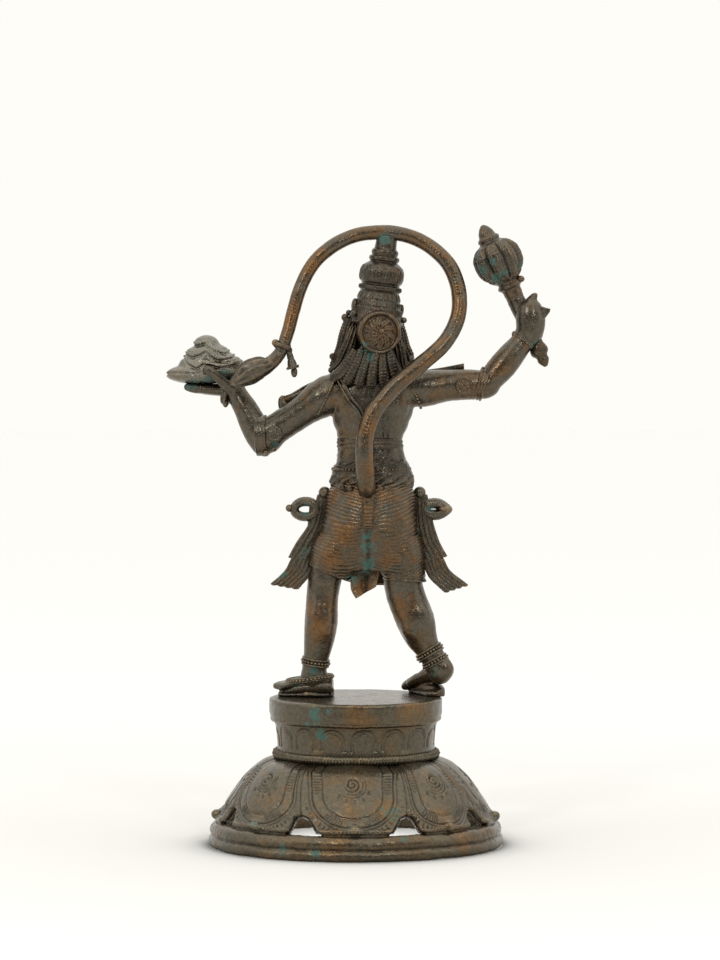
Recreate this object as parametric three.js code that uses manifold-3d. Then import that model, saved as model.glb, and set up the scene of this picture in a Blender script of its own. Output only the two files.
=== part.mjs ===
// A cast bronze figure of a striding monkey deity on a pierced lotus pedestal.
// Millimetres, +Z up, the figure faces -Y. The origin is the centre of the pedestal's underside.
import * as THREE from 'three';
import { mergeVertices } from 'three/addons/utils/BufferGeometryUtils.js';
import Module from 'manifold-3d';

const wasm = await Module();
wasm.setup();

// Pedestal: heights from the ground up, then radii
const footHeight = 12.5;
const petalHeight = 33;
const ropeHeight = 5.6;
const bandHeight = 13.4;
const slabHeight = 11.9;
const footRadius = 76.4;
const footStep = 3.6;
const ropeRadius = 43.4;
const ropeRoll = 1.8;
const bandRadius = 40.6;
const bandFlare = 1.2;
const slabRadius = 44.8;
const edgeRound = 0.8;

// Pedestal: hollow casting, petals and piercings
const footWall = 6;
const domeWall = 4.4;
const slabThickness = 4.5;
const petalGroove = 2.4;
const petalKnob = 3.1;
const holeWidth = 17.4;
const holeHeight = 9;

// Where one petal meets the next, in degrees from the petal at the back: at their feet and under the rope
const seamFeet = [21, 60.5, 107, 153.5, 200.5, 247, 293.5, 338.5];
const seamHeads = [28, 64, 109, 153.5, 198.5, 238, 279, 327];

// Figure: soles to the top of the mace. Its pose and carving are drawn in units, this many to the height.
const figureHeight = 245.6;
const drawnUnits = 246;
const unit = figureHeight / drawnUnits;

const plinthTop = footHeight + petalHeight + ropeHeight + bandHeight + slabHeight;
const degree = Math.PI / 180;
const Y = new THREE.Vector3(0, 1, 0);
const Z = new THREE.Vector3(0, 0, 1);

const bronze = new THREE.MeshStandardMaterial({ color: 0x4f4232, roughness: 0.5, metalness: 0.85 });
const worn = new THREE.MeshStandardMaterial({ color: 0x5c4a36, roughness: 0.5, metalness: 0.85 });

// A whole number of equal steps from 0 up to 1
function shares(steps) {
  return Array.from({ length: steps + 1 }, (_, i) => i / steps);
}

// A point of the figure, from its drawn units
function at(x, y, z) {
  return new THREE.Vector3(x, y, z).multiplyScalar(unit);
}

// Closed rings of points, joined one to the next; the ends are closed by fans, or the last ring meets the first
function skin(rings, joined = false) {
  const count = rings[0].length;
  const points = rings.flat();
  const faces = [];
  const spans = joined ? rings.length : rings.length - 1;
  for (let i = 0; i < spans; i++) {
    const here = i * count;
    const next = ((i + 1) % rings.length) * count;
    for (let j = 0; j < count; j++) {
      const k = (j + 1) % count;
      faces.push(here + j, here + k, next + k, here + j, next + k, next + j);
    }
  }
  if (!joined) {
    [0, rings.length - 1].forEach((end) => {
      const hub = points.length;
      const middle = new THREE.Vector3();
      rings[end].forEach((point) => middle.addScaledVector(point, 1 / count));
      points.push(middle);
      for (let j = 0; j < count; j++) {
        const a = end * count + j;
        const b = end * count + (j + 1) % count;
        faces.push(hub, ...(end === 0 ? [b, a] : [a, b]));
      }
    });
  }
  const geometry = new THREE.BufferGeometry();
  geometry.setAttribute('position', new THREE.Float32BufferAttribute(points.flatMap((p) => p.toArray()), 3));
  geometry.setIndex(faces);
  return geometry;
}

// A solid for joining and cutting, its faces turned outwards
function solid(geometry) {
  const bare = geometry.clone();
  bare.deleteAttribute('normal');
  bare.deleteAttribute('uv');
  const merged = mergeVertices(bare);
  const vertProperties = merged.attributes.position.array;
  const triVerts = Uint32Array.from(merged.index.array);
  const corner = (n) => new THREE.Vector3().fromArray(vertProperties, 3 * triVerts[n]);
  let volume = 0;
  for (let n = 0; n < triVerts.length; n += 3) {
    volume += corner(n).dot(corner(n + 1).cross(corner(n + 2)));
  }
  if (volume < 0) {
    triVerts.reverse();
  }
  return new wasm.Manifold(new wasm.Mesh({ numProp: 3, vertProperties, triVerts }));
}

// Several closed geometries as one casting, moved together by a matrix
function fuse(geometries, place = new THREE.Matrix4()) {
  return wasm.Manifold.union(geometries.map((geometry) => solid(geometry.clone().applyMatrix4(place))));
}

// The named mesh of a finished solid
function piece(name, shape, material, place = new THREE.Matrix4()) {
  const { vertProperties, triVerts } = shape.getMesh();
  const geometry = new THREE.BufferGeometry();
  geometry.setAttribute('position', new THREE.Float32BufferAttribute(vertProperties, 3));
  geometry.setIndex(Array.from(triVerts));
  geometry.computeVertexNormals();
  const mesh = new THREE.Mesh(geometry, material);
  mesh.name = name;
  mesh.applyMatrix4(place);
  return mesh;
}

// An oval section carried along a smooth path of stations [x, y, z, half width, half depth].
// The depth lies towards `up`; `carve` swells or hollows the section by share of length and angle.
function limb(stations, { sides = 10, steps = stations.length - 1, up = Y, carve = () => 1 } = {}) {
  const path = new THREE.CatmullRomCurve3(stations.map(([x, y, z]) => at(x, y, z)));
  const girth = new THREE.CatmullRomCurve3(stations.map(([, , , a, b = a]) => at(a, b, 0)));
  const rings = shares(steps).map((t) => {
    const centre = path.getPoint(t);
    const along = path.getTangent(t);
    const deep = up.clone().addScaledVector(along, -up.dot(along)).normalize();
    const wide = new THREE.Vector3().crossVectors(along, deep);
    const half = girth.getPoint(t);
    return shares(sides).slice(0, sides).map((s) => {
      const angle = 2 * Math.PI * s;
      const swell = carve(t, angle);
      return centre.clone()
        .addScaledVector(wide, half.x * Math.cos(angle) * swell)
        .addScaledVector(deep, half.y * Math.sin(angle) * swell);
    });
  });
  return skin(rings);
}

// A rounded lump, turned by angles in degrees about X, Y and Z
function lump(x, y, z, a, b, c, { turn = [0, 0, 0], sides = 8, rows = 5 } = {}) {
  const place = new THREE.Matrix4().compose(
    at(x, y, z),
    new THREE.Quaternion().setFromEuler(new THREE.Euler(...turn.map((angle) => angle * degree))),
    at(a, b, c),
  );
  const ball = new THREE.SphereGeometry(1, sides, rows).rotateX(Math.PI / 2);
  return ball.applyMatrix4(place);
}

// A ring of round cord about an axis, oval if a and b differ
function ring([x, y, z], axis, a, b, cord, { segments = 12, sides = 5, up = Y } = {}) {
  const along = axis.clone().normalize();
  const deep = up.clone().addScaledVector(along, -up.dot(along)).normalize();
  const wide = new THREE.Vector3().crossVectors(along, deep);
  const thick = cord * unit;
  const rings = shares(segments).slice(0, segments).map((t) => {
    const angle = 2 * Math.PI * t;
    const out = wide.clone().multiplyScalar(Math.cos(angle)).addScaledVector(deep, Math.sin(angle));
    const middle = at(x, y, z)
      .addScaledVector(wide, a * unit * Math.cos(angle))
      .addScaledVector(deep, b * unit * Math.sin(angle));
    return shares(sides).slice(0, sides).map((s) => middle.clone()
      .addScaledVector(out, thick * Math.cos(2 * Math.PI * s))
      .addScaledVector(along, thick * Math.sin(2 * Math.PI * s)));
  });
  return skin(rings, true);
}

// Pleated cloth between two edges given as [x, y, z], with a ripple across it
function cloth(outer, inner, { thick = 2.4, pleats = 3, depth = 1.1 } = {}) {
  const columns = 2 * pleats;
  const rings = outer.map((edge, row) => {
    const face = shares(columns).map((s, j) => {
      const point = at(...edge).lerp(at(...inner[row]), s);
      point.y += unit * (j % 2 ? -depth : depth) * Math.min(1, row / 2);
      return point;
    });
    const front = face.map((point) => point.clone().setY(point.y + thick * unit / 2));
    const back = face.map((point) => point.clone().setY(point.y - thick * unit / 2)).reverse();
    return [...front, ...back];
  });
  return skin(rings);
}

// A turned form about the Z axis, from [radius, height] pairs
function turned(profile, segments) {
  const outline = profile.map(([r, h]) => new THREE.Vector2(r, h));
  return new THREE.LatheGeometry(outline, segments).rotateX(Math.PI / 2);
}

// The lotus dome's profile, from under the rope to the petals' tips, as shares of its step out and its height
const domeShares = [[0, 1], [0.25, 0.91], [0.5, 0.71], [0.7, 0.47], [0.89, 0.2], [1, 0.06]];
const domeHead = ropeRadius - ropeRoll;
const domeFoot = footRadius - footStep;

function domePoint([out, up], inward = 0) {
  return [domeHead + (domeFoot - domeHead) * out - inward, footHeight + petalHeight * up];
}

// Angle of seam number k at a share of the dome's height, counted on past a full turn
function seamAngle(k, up) {
  const turns = Math.floor(k / seamFeet.length);
  const n = k - turns * seamFeet.length;
  return Math.PI / 2 + (360 * turns + seamFeet[n] + (seamHeads[n] - seamFeet[n]) * up) * degree;
}

// One level of the pedestal's outside, drawn in at the seams between the petals by a groove
function level([radius, height], up, groove = 0) {
  const steps = 4;
  return seamFeet.flatMap((_, k) => shares(steps).slice(0, steps).map((s) => {
    const angle = seamAngle(k, up) + (seamAngle(k + 1, up) - seamAngle(k, up)) * s;
    const r = radius - groove * Math.abs(2 * s - 1) ** 4;
    return new THREE.Vector3(r * Math.cos(angle), r * Math.sin(angle), height);
  }));
}

// The pedestal's outside from the ground up: rolled foot ring, eight swelling petals, rope, drum and slab
function pedestalBody() {
  const ropeFoot = footHeight + petalHeight;
  const bandFoot = ropeFoot + ropeHeight;
  const slabFoot = bandFoot + bandHeight;
  const foot = [
    [footRadius - edgeRound, 0],
    [footRadius, edgeRound],
    [footRadius, 0.28 * footHeight],
    [footRadius - footStep / 2, 0.42 * footHeight],
    [footRadius - footStep / 4, 0.6 * footHeight],
    [footRadius - footStep / 2, 0.86 * footHeight],
  ];
  const upper = [
    [ropeRadius, ropeFoot + 0.3 * ropeHeight],
    [ropeRadius, ropeFoot + 0.7 * ropeHeight],
    [bandRadius, bandFoot],
    [bandRadius + bandFlare, slabFoot - edgeRound],
    [slabRadius, slabFoot + edgeRound],
    [slabRadius, plinthTop],
  ];
  return skin([
    ...foot.map((point) => level(point, 0)),
    level([domeFoot, footHeight], 0, petalGroove),
    ...domeShares.map((share) => level(domePoint(share), share[1], petalGroove * Math.min(1, 4 * share[0])))
      .reverse(),
    ...upper.map((point) => level(point, 1)),
  ]);
}

// A knob at the tip of each petal
function petalKnobs() {
  return seamFeet.map((_, k) => {
    const angle = (seamAngle(k, 0) + seamAngle(k + 1, 0)) / 2;
    const reach = domeFoot - petalKnob / 3;
    return new THREE.SphereGeometry(petalKnob, 4, 3)
      .rotateX(Math.PI / 2)
      .translate(reach * Math.cos(angle), reach * Math.sin(angle), footHeight + petalKnob);
  });
}

// The openings between the petals' feet: wide at the foot ring, narrow above
function petalHoles() {
  const half = holeWidth / 2;
  const outline = new THREE.Shape();
  outline.moveTo(-half, 0);
  outline.lineTo(-0.25 * half, holeHeight);
  outline.lineTo(0.25 * half, holeHeight);
  outline.lineTo(half, 0);
  const inside = domeFoot - 3 * footWall;
  const depth = footRadius - inside + footWall;
  return seamFeet.map((_, k) => new THREE.ExtrudeGeometry(outline, { depth, bevelEnabled: false })
    .translate(0, 0, inside)
    .rotateX(Math.PI / 2)
    .rotateZ(Math.PI / 2 + seamAngle(k, 0))
    .translate(0, 0, footHeight));
}

// The hollow under the pedestal, open at the foot
function pedestalHollow() {
  const inner = domeShares.slice(1).map((share) => domePoint(share, domeWall)).reverse();
  return turned([
    [0, -1],
    [footRadius - footWall, -1],
    [footRadius - footWall, 0.8 * footHeight],
    ...inner.slice(1),
    [bandRadius - domeWall, footHeight + petalHeight],
    [bandRadius - domeWall, plinthTop - slabThickness],
    [0, plinthTop - slabThickness],
  ], 16);
}

const pedestal = fuse([pedestalBody(), ...petalKnobs()])
  .subtract(wasm.Manifold.union([...petalHoles(), pedestalHollow()].map(solid)));

// Torso and neck from the hips upwards, with the belts, the cloth between them, belly band and collar
function torso() {
  return limb([
    [-8.5, 1, 98, 20, 13], [-8.5, 0.5, 109, 20, 13], [-8.4, 0.4, 112, 22.2, 15], [-8.2, 0.2, 115.4, 20, 13.2],
    [-7.9, 0, 118.6, 21, 14], [-7.7, 0, 121.4, 17.6, 11.8], [-7.4, 0, 128.4, 16.8, 11.8], [-7.2, 0, 131.4, 15.6, 10.8],
    [-7.1, 0, 134, 16.8, 11.8], [-8, 0, 149, 21.6, 12.6], [-8.8, -0.4, 160.4, 22.5, 12], [-8.8, -0.6, 165, 16.4, 12.4],
    [-8.8, 0, 168.4, 11, 9.2], [-8.6, 0, 180, 6.8, 6.8],
  ], { sides: 10 });
}

// The short lower garment: hips and two legs, in crosswise folds
function garment() {
  const folds = (rows) => (t) => 1 + (Math.round(t * rows) % 2 ? -0.02 : 0.02);
  return [
    limb([
      [-8.5, 0.8, 111, 20, 13.6], [-8.3, 1.6, 105, 23.4, 16.2], [-7.6, 2.6, 96, 24.4, 18],
      [-6.9, 2.8, 87, 25.2, 18.2], [-6.4, 2, 78, 26.4, 17], [-5.8, 0.6, 68, 25.4, 14],
    ], { sides: 10, steps: 6, carve: folds(6) }),
    limb([[6, 0.8, 82, 14, 15.4], [9.6, 0.6, 74, 15, 15], [13.4, 0, 66, 12.6, 13], [15.2, 0, 60, 12, 12.4]],
      { sides: 8, steps: 4, carve: folds(4) }),
    limb([[-20.4, 0.8, 82, 13.4, 15.4], [-22.6, 0.6, 74, 13.6, 14.6], [-24.4, 0, 66, 11.8, 12.6], [-25.4, -0.2, 60, 11, 12]],
      { sides: 8, steps: 4, carve: folds(4) }),
  ];
}

// Legs with two anklets each: the left one straight under the body, the right one trailing with its heel up
function legs() {
  return [
    limb([
      [15.6, 0, 63, 9, 9.2], [17.4, 0.3, 51, 8.2, 8.5], [18, 0.7, 39, 8.6, 8.8], [19.4, 0.4, 28, 7.6, 7.6],
      [20.6, -0.2, 20.6, 6.4, 6.5], [21, -0.5, 18, 8.2, 8.2], [21.4, -0.8, 15.6, 6.7, 6.7], [21.7, -0.9, 13, 7.8, 7.8],
      [22, -1, 8, 6.4, 6],
    ], { sides: 7 }),
    limb([
      [-23.4, 0, 63, 9.8, 10.2], [-25.6, -0.5, 53, 10.1, 10], [-30.6, -1, 40, 10, 9.9], [-33.6, -1, 31.5, 8.4, 8.4],
      [-36.8, -0.8, 25.6, 6.8, 7], [-38.4, -0.6, 22.8, 8.2, 8.4], [-39.8, -0.2, 20.6, 6.8, 7], [-41.2, 0.2, 18.2, 7.8, 8],
      [-43.6, 0.8, 12.6, 6, 5.8],
    ], { sides: 7 }),
  ];
}

// A foot seen from above, heel at the origin and toes towards +X: [share of length, share of half width]
const footPlan = [
  [0, 0], [0.06, 0.56], [0.34, 0.64], [0.72, 0.98], [0.99, 0.76], [0.87, 0.5], [0.99, 0.3], [0.86, 0.1], [0.96, -0.1],
  [0.83, -0.28], [0.92, -0.46], [0.78, -0.62], [0.86, -0.84], [0.66, -1], [0.34, -0.72], [0.06, -0.56],
];

// A foot with five toes, its big toe towards +Y when side is 1
function foot(length, halfWidth, side, place) {
  const rise = (share) => 0.3 - 0.17 * share;
  const levels = [[0, 0.84], [0.5, 1], [1, 0.66]];
  const rings = levels.map(([up, spread]) => footPlan.map(([along, across]) => at(
    length * (0.45 + (along - 0.45) * (0.5 + 0.5 * spread)),
    side * halfWidth * across * spread,
    length * rise(along) * up,
  ).applyMatrix4(place)));
  return skin(rings);
}

function feet() {
  const stand = (x, y, z, pitch, yaw) => new THREE.Matrix4().compose(
    at(x, y, z),
    new THREE.Quaternion().setFromEuler(new THREE.Euler(0, pitch * degree, yaw * degree, 'ZYX')),
    new THREE.Vector3(1, 1, 1),
  );
  return [
    foot(32.6, 8.4, -1, stand(12, -1.4, 4.6, 3, -7)),
    foot(43, 7.8, 1, stand(-48, 6, 11.2, 15, -60)),
  ];
}

// Blocks cast under the feet, flat on the plinth
function footBlocks() {
  const wedge = (corners, high) => skin([
    corners.map(([x, y]) => at(x, y, 0)),
    corners.map(([x, y], i) => at(x, y, high[i])),
  ]);
  return [
    wedge([[12, -7.6], [39.5, -12], [41, 2], [12, 4.6]], [8.6, 5.4, 5.4, 8.6]),
    wedge([[-46, -6], [-37.6, -31], [-27, -28], [-35.4, 1]], [8.6, 3, 3, 8.6]),
  ];
}

// Both arms, with armlets by the elbows and bracelets at the wrists:
// the left bends up under the mountain, the right lifts the mace
function arms() {
  return [
    limb([
      [2, 0, 160, 9, 9.4], [14, 0, 156.4, 10.4, 10], [27, -0.6, 148.4, 8.1, 8.2], [41.4, -2.1, 138.4, 7, 7.2],
      [44.6, -2.5, 136, 8.4, 8.6], [47.4, -2.8, 133.8, 6.4, 6.8], [50, -3, 132, 5, 5.4],
    ], { sides: 6 }),
    limb([
      [47, -3, 127.2, 4, 4.6], [48.8, -3.2, 131, 6.8, 7], [50.6, -3.7, 135.4, 7.6, 7.6], [53, -4.3, 141, 7, 6.8],
      [57, -5.6, 149, 6.4, 6.3], [60.4, -6.8, 154.6, 5.6, 5.6], [61.9, -7.3, 156.7, 7, 7], [63.4, -8, 159, 5, 5],
    ], { sides: 6 }),
    limb([
      [-20, 0, 160, 9.6, 9.6], [-34, 0, 159.8, 9.6, 9.6], [-47, -0.6, 161.2, 8.2, 8.3], [-59.6, -1.4, 161.8, 7.8, 7.8],
      [-63.4, -1.7, 161.8, 9.4, 9.4], [-67, -2, 161.8, 7.2, 7.2], [-71.6, -2.4, 161.6, 5.8, 6],
    ], { sides: 6 }),
    limb([
      [-66, -2, 158.4, 5.4, 5.6], [-70, -2.4, 163.6, 7.1, 7.1], [-76, -3.2, 171.6, 7.3, 7.1], [-80.8, -4.1, 177.4, 6.9, 6.8],
      [-83, -4.4, 180, 6.2, 6.2], [-84.6, -4.7, 182, 7.8, 7.8], [-86.2, -5, 184, 5.8, 5.8], [-88.4, -5.6, 188, 5.4, 5.2],
    ], { sides: 6 }),
  ];
}

// A finger of a few joints
function finger(stations) {
  return limb(stations, { sides: 4, up: Z });
}

// Left hand: palm under the mountain, four fingers forward, thumb up against its side
function leftHand() {
  const fingers = [-17, -13.6, -10.2, -6.8].map((y, i) => finger([
    [76, y, 158.8, 2.3], [83, y, 159 + 0.2 * i, 2.2], [88, y, 161 + 0.2 * i, 1.5],
  ]));
  return [
    limb([[62, -8, 159.6, 4.6, 4.2], [68, -9.6, 158.6, 6.2, 3.4], [75, -11.4, 158.4, 7.6, 2.8], [80, -12, 158.8, 7.4, 2.4]],
      { sides: 8, up: Z }),
    ...fingers,
    finger([[66.6, -3.6, 160.6, 2.7], [71, 0, 165, 2.5], [76, 1.8, 169.4, 1.8]]),
  ];
}

// Right hand: a fist with four knuckles round the shaft, its thumb standing up and one finger pointing out
function rightHand() {
  const knuckles = (t) => 1 + 0.09 * Math.sin(8 * Math.PI * t - Math.PI / 2) * Math.sin(Math.PI * t);
  return [
    limb([[-88, -5.6, 184.6, 5.2, 5], [-90.6, -5.6, 188.4, 7.2, 6.8], [-91.2, -5.6, 196, 7.4, 6.8], [-89.2, -5.2, 201.4, 5.4, 5]],
      { sides: 8, steps: 8, carve: knuckles }),
    finger([[-88.6, -5, 200, 3], [-90.4, -5, 204.4, 2.5], [-92.6, -5, 208, 1.5]]),
    cloth([[-92, -4, 202], [-96.6, -4, 200.6], [-101.4, -4, 200.2]], [[-92, -4, 190], [-97.4, -4, 194.6], [-101, -4, 198.8]],
      { thick: 3, pleats: 1, depth: 0.4 }),
  ];
}

// The mace along its own axis: finial, fluted head, collar, shaft and lower knob
function mace() {
  const top = [-66.6, -7.5, 243.4];
  const foot = [-98.9, -7.5, 172.2];
  const stations = (pairs) => pairs.map(([s, r]) => [...top.map((value, i) => value + (foot[i] - value) * s), r]);
  const lobes = (t, angle) => 1 + 0.09 * Math.cos(7 * angle) * Math.sin(Math.PI * t);
  return [
    limb(stations([[0, 1], [0.04, 3], [0.09, 4], [0.115, 5.2], [0.15, 4]]), { sides: 6 }),
    limb(stations([[0.12, 4.6], [0.16, 9], [0.22, 11.9], [0.29, 12.1], [0.35, 9], [0.39, 5.4]]),
      { sides: 14, carve: lobes }),
    limb(stations([
      [0.36, 4.4], [0.385, 4.8], [0.405, 6.4], [0.43, 4.4], [0.6, 4.1], [0.84, 3.5], [0.885, 4.6], [0.92, 2.8],
      [0.95, 3.2], [1, 0.9],
    ]), { sides: 6 }),
  ];
}

// The herb mountain: a bowl-like foot with lumps of rock stacked on it
function mountain() {
  return [
    limb([
      [78.4, -12, 159.6, 11, 8], [79, -12, 162.6, 16.4, 11.4], [79, -12, 165.8, 20, 13.4], [78.4, -12, 169.6, 17, 12],
    ], { sides: 10, carve: (t, angle) => 1 + 0.03 * Math.sin(3 * angle + 4 * t) }),
    lump(88, -11, 169.4, 9.2, 9, 3.6, { turn: [0, 14, 0], sides: 6, rows: 3 }),
    lump(69.6, -11, 170, 12.4, 10.6, 4.2, { turn: [0, -4, 0], sides: 6, rows: 4 }),
    lump(79.4, -12, 173.4, 12.8, 10.4, 4.6, { turn: [0, 6, 0], sides: 6, rows: 4 }),
    lump(71.6, -10.6, 177.6, 8.6, 7.6, 3.6, { turn: [0, -24, 0], sides: 6, rows: 3 }),
    lump(77.6, -12, 180, 7.6, 7.4, 6.6, { sides: 6, rows: 4 }),
  ];
}

// The tail's route and the radius of its round section: thick at the root, thinner past the loop, then the tuft
const tailRoute = [
  [-6, 12, 104, 4.2], [-5.2, 20.6, 112, 4.7], [-4.4, 24.4, 124, 4.6], [-4.8, 24, 136, 4.5],
  [-8.6, 22.6, 147.4, 4.4], [-18.6, 21.4, 160, 4.3], [-33, 19, 172.3, 4.2],
  [-46.2, 14, 184.6, 4.1], [-52.4, 9.6, 197, 4], [-53, 6.4, 209.6, 4],
  [-48.6, 3.6, 222.4, 3.9], [-40, 1.6, 231.6, 3.8], [-28, 0.4, 238.2, 3.8],
  [-14.7, 0, 240.7, 3.8], [-1, 0.6, 239, 3.7], [11.4, 2, 233.6, 3.7],
  [21.6, 3.6, 224.6, 3.6], [28.2, 5.6, 212.6, 3.5], [32.2, 7.4, 199.6, 3.4], [35.2, 9.6, 188.4, 3.3],
  [39.4, 12, 177.8, 3.3], [45, 13, 172.4, 3.6], [50.4, 13.8, 170.4, 5], [56, 14, 168, 5.2], [60.6, 13.6, 164.8, 3.4],
  [64.4, 13, 162.8, 0.9],
];

// The tail: from the hips up clear of the back, over the crown and down to its bud-shaped tuft
function tail() {
  const turnAt = new THREE.Vector3(0.35, 0.2, -0.92);
  return [
    limb(tailRoute, { sides: 6, steps: 28 }),
    ring([37.6, 10.8, 181.2], turnAt, 3.8, 3.8, 1.4, { segments: 6, sides: 4 }),
    lump(41.4, 11.4, 183.6, 1.9, 1.9, 1.9, { sides: 4, rows: 3 }),
    limb([[34.8, 11, 181.6, 1.7], [33.8, 11, 176.4, 1.5], [32.9, 11, 172.8, 2.4], [32.4, 11, 170.2, 3.5]], { sides: 5 }),
    lump(31.8, 11, 168.4, 1.8, 1.8, 3, { sides: 4, rows: 3 }),
  ];
}

// Skull, muzzle and features in the head's own frame: face towards -Y, origin between the ears
function head() {
  const pair = (make) => [make(1), make(-1)];
  return [
    lump(0, 0, 0, 12, 12.4, 13.4, { sides: 8, rows: 5 }),
    limb([[0, -4, -3, 9.6, 9.4], [0, -11, -4.4, 7, 6.4], [0, -14.6, -4.8, 6, 4.8], [0, -16.6, -5, 4, 2.8]], { sides: 8, up: Z }),
    lump(0, -15.4, -1.8, 3.2, 2.6, 2, { sides: 5, rows: 3 }),
    limb([[-8.6, -7.2, 3, 1.5], [-3.6, -11.8, 4.4, 1.8], [3.6, -11.8, 4.4, 1.8], [8.6, -7.2, 3, 1.5]], { sides: 4, up: Z }),
    ...pair((side) => lump(4.8 * side, -10.6, 1, 2.8, 2, 1.7, { sides: 5, rows: 3 })),
    ...pair((side) => lump(12.6 * side, 0.5, 0.6, 2.2, 3.8, 5.4, { sides: 5, rows: 4 })),
  ];
}

// The tall crown over it: brim, banded cone, fluted bulb and necking up to the tail, and three jewels
function crown() {
  const flutes = (t, angle) => 1 + (Math.abs(t - 0.65) < 0.06 ? 0.045 * Math.cos(5 * angle) : 0);
  const outline = [
    [1, 10], [5.6, 14.6], [10, 14.8], [12, 13], [14, 13.8], [21.6, 10.4], [23.6, 12], [25.6, 9.2],
    [28, 11.8], [32, 12.1], [36, 6.8], [38.6, 8.4], [41, 6.2], [51, 5.2],
  ];
  return [
    limb(outline.map(([z, r]) => [0, 0, z, r]), { sides: 10, carve: flutes }),
    lump(0, -13.8, 14.4, 4.4, 2.4, 6.4, { sides: 5, rows: 4 }),
    ...[1, -1].map((side) => lump(12 * side, 0, 14, 2.8, 3.8, 4.8, { sides: 5, rows: 3 })),
  ];
}

// The round plaque behind the head: raised rim, eight petals round a boss, and a leaf drop
function plaque() {
  const profile = [[10.2, 9, 0], [10.9, 15, 0], [10.2, 17.4, 0], [8.2, 16, 0], [6.2, 16.4, 0.9], [4.4, 17.8, 0.4], [2, 17, 0]];
  const rings = profile.map(([radius, y, scallop]) => shares(16).slice(0, 16).map((s) => {
    const angle = 2 * Math.PI * s;
    const r = radius + scallop * Math.cos(8 * angle);
    return at(r * Math.cos(angle), y, r * Math.sin(angle));
  }));
  return [
    skin(rings),
    lump(0, 17.2, 0, 2, 1.8, 2, { sides: 5, rows: 3 }),
    lump(0, 15.4, -11.6, 2.2, 1.8, 3.6, { sides: 4, rows: 3 }),
  ];
}

// Hair: a mane of thick locks from under the plaque onto the shoulders, and clusters before the ears
function hair() {
  const locks = (t, angle) => 1 + 0.09 * Math.cos(8 * angle) * Math.min(1, 3 * t);
  return [
    limb([
      [-9.4, 1.6, 186, 9, 8], [-8.9, 2.7, 172, 15.2, 9.6], [-7.8, 3.4, 162, 18.4, 8.6],
    ], { sides: 16, carve: locks }),
    limb([[4, 1, 194.6, 3.2], [6.6, 1.4, 187, 3.8], [9, 1.4, 180.4, 3.6], [12, 1, 175.6, 2.6], [12.4, 1, 170.6, 2.8]],
      { sides: 5 }),
    limb([[-21.6, -3, 195, 2.4], [-23.4, -2.6, 187, 3], [-24.8, -2, 180, 3.4], [-27.6, -1, 176, 2.8], [-26.6, 0, 171, 2.6]],
      { sides: 5 }),
    lump(5.8, 1, 196, 2.4, 2.4, 2.4, { sides: 4, rows: 3 }),
  ];
}

// Long scarf over the shoulders, seen as flat ends above both arms
function scarf() {
  return [
    cloth([[9, -4.4, 170], [18, -5.2, 165.6], [28, -5.4, 160], [39.4, -5.2, 154.6]],
      [[9, -4.4, 162], [18, -5.4, 157], [28, -5.6, 150], [36.6, -5.4, 146]],
      { thick: 3, pleats: 1, depth: 0.4 }),
    cloth([[-26, -4.4, 169.6], [-41, -5, 171.6], [-56, -5, 173.4]],
      [[-26, -4.4, 160], [-41, -5, 162], [-56.4, -5, 166]],
      { thick: 3, pleats: 1, depth: 0.4 }),
  ];
}

// Sashes knotted at both hips: knob, bow loop and a pleated tail flying outwards; tongues before and behind
function sashes() {
  return [
    lump(16.2, 1, 106, 3.2, 3.2, 3.2, { sides: 5, rows: 4 }),
    lump(-33, 1, 106, 3.2, 3.2, 3.2, { sides: 5, rows: 4 }),
    ring([26, 1, 97.4], Y, 5.6, 3.9, 2.4, { segments: 8, sides: 3, up: Z }),
    lump(34.4, 1, 98, 2.1, 2.1, 2.1, { sides: 4, rows: 3 }),
    ring([-41.8, 1, 96.8], new THREE.Vector3(0.35, 1, 0), 4.8, 4.2, 2.6, { segments: 8, sides: 3, up: Z }),
    cloth([[20, 1, 105], [24, 1, 90.6], [34.6, 2.6, 72.4], [34, 2.6, 69], [44.6, 3.4, 58.4]],
      [[12, 1, 105], [13, 1, 90], [20, 2, 71.6], [22.4, 2, 67], [30, 2.6, 55.6]],
      { thick: 3.4, pleats: 2, depth: 1.1 }),
    cloth([[-37, 1, 105], [-40, 1, 90.6], [-47.2, 2.2, 73.4], [-45.6, 2.4, 70], [-58.6, 3.4, 58]],
      [[-29, 1, 105], [-29, 1, 90], [-35, 1.8, 70], [-36, 2, 66], [-46, 2.6, 54]],
      { thick: 3.4, pleats: 2, depth: 1.1 }),
    cloth([[2.6, 3, 76], [2.4, 5, 66], [1.4, 7, 52.4]], [[-12, 3, 76], [-12, 5, 66], [-4, 7, 54]],
      { thick: 4.4, pleats: 1, depth: 1.2 }),
    cloth([[-1.6, -12, 113], [-0.6, -18.4, 98], [0.6, -19, 78], [2.4, -15.4, 57]],
      [[-15, -12, 113], [-15.8, -18.4, 98], [-16.8, -19, 78], [-18.4, -15.4, 57]],
      { thick: 3.6, pleats: 2, depth: 1.1 }),
  ];
}

// Belt clasp, pendant on the chest, bosses on both armlets and a drop at the left wrist
function ornaments() {
  return [
    lump(-8, -14.4, 115, 4.4, 2.8, 4.6, { sides: 6, rows: 4 }),
    lump(-8.6, -12, 157.6, 3.6, 2.4, 4.6, { sides: 5, rows: 4 }),
    lump(42.6, 4.4, 137.6, 4.4, 2.8, 4.4, { sides: 6, rows: 4 }),
    lump(-56.6, 5.6, 161, 4.2, 2.8, 4.2, { sides: 6, rows: 4 }),
    lump(66.4, -5.4, 155.6, 2.4, 2.4, 3.6, { sides: 4, rows: 3 }),
  ];
}

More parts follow.
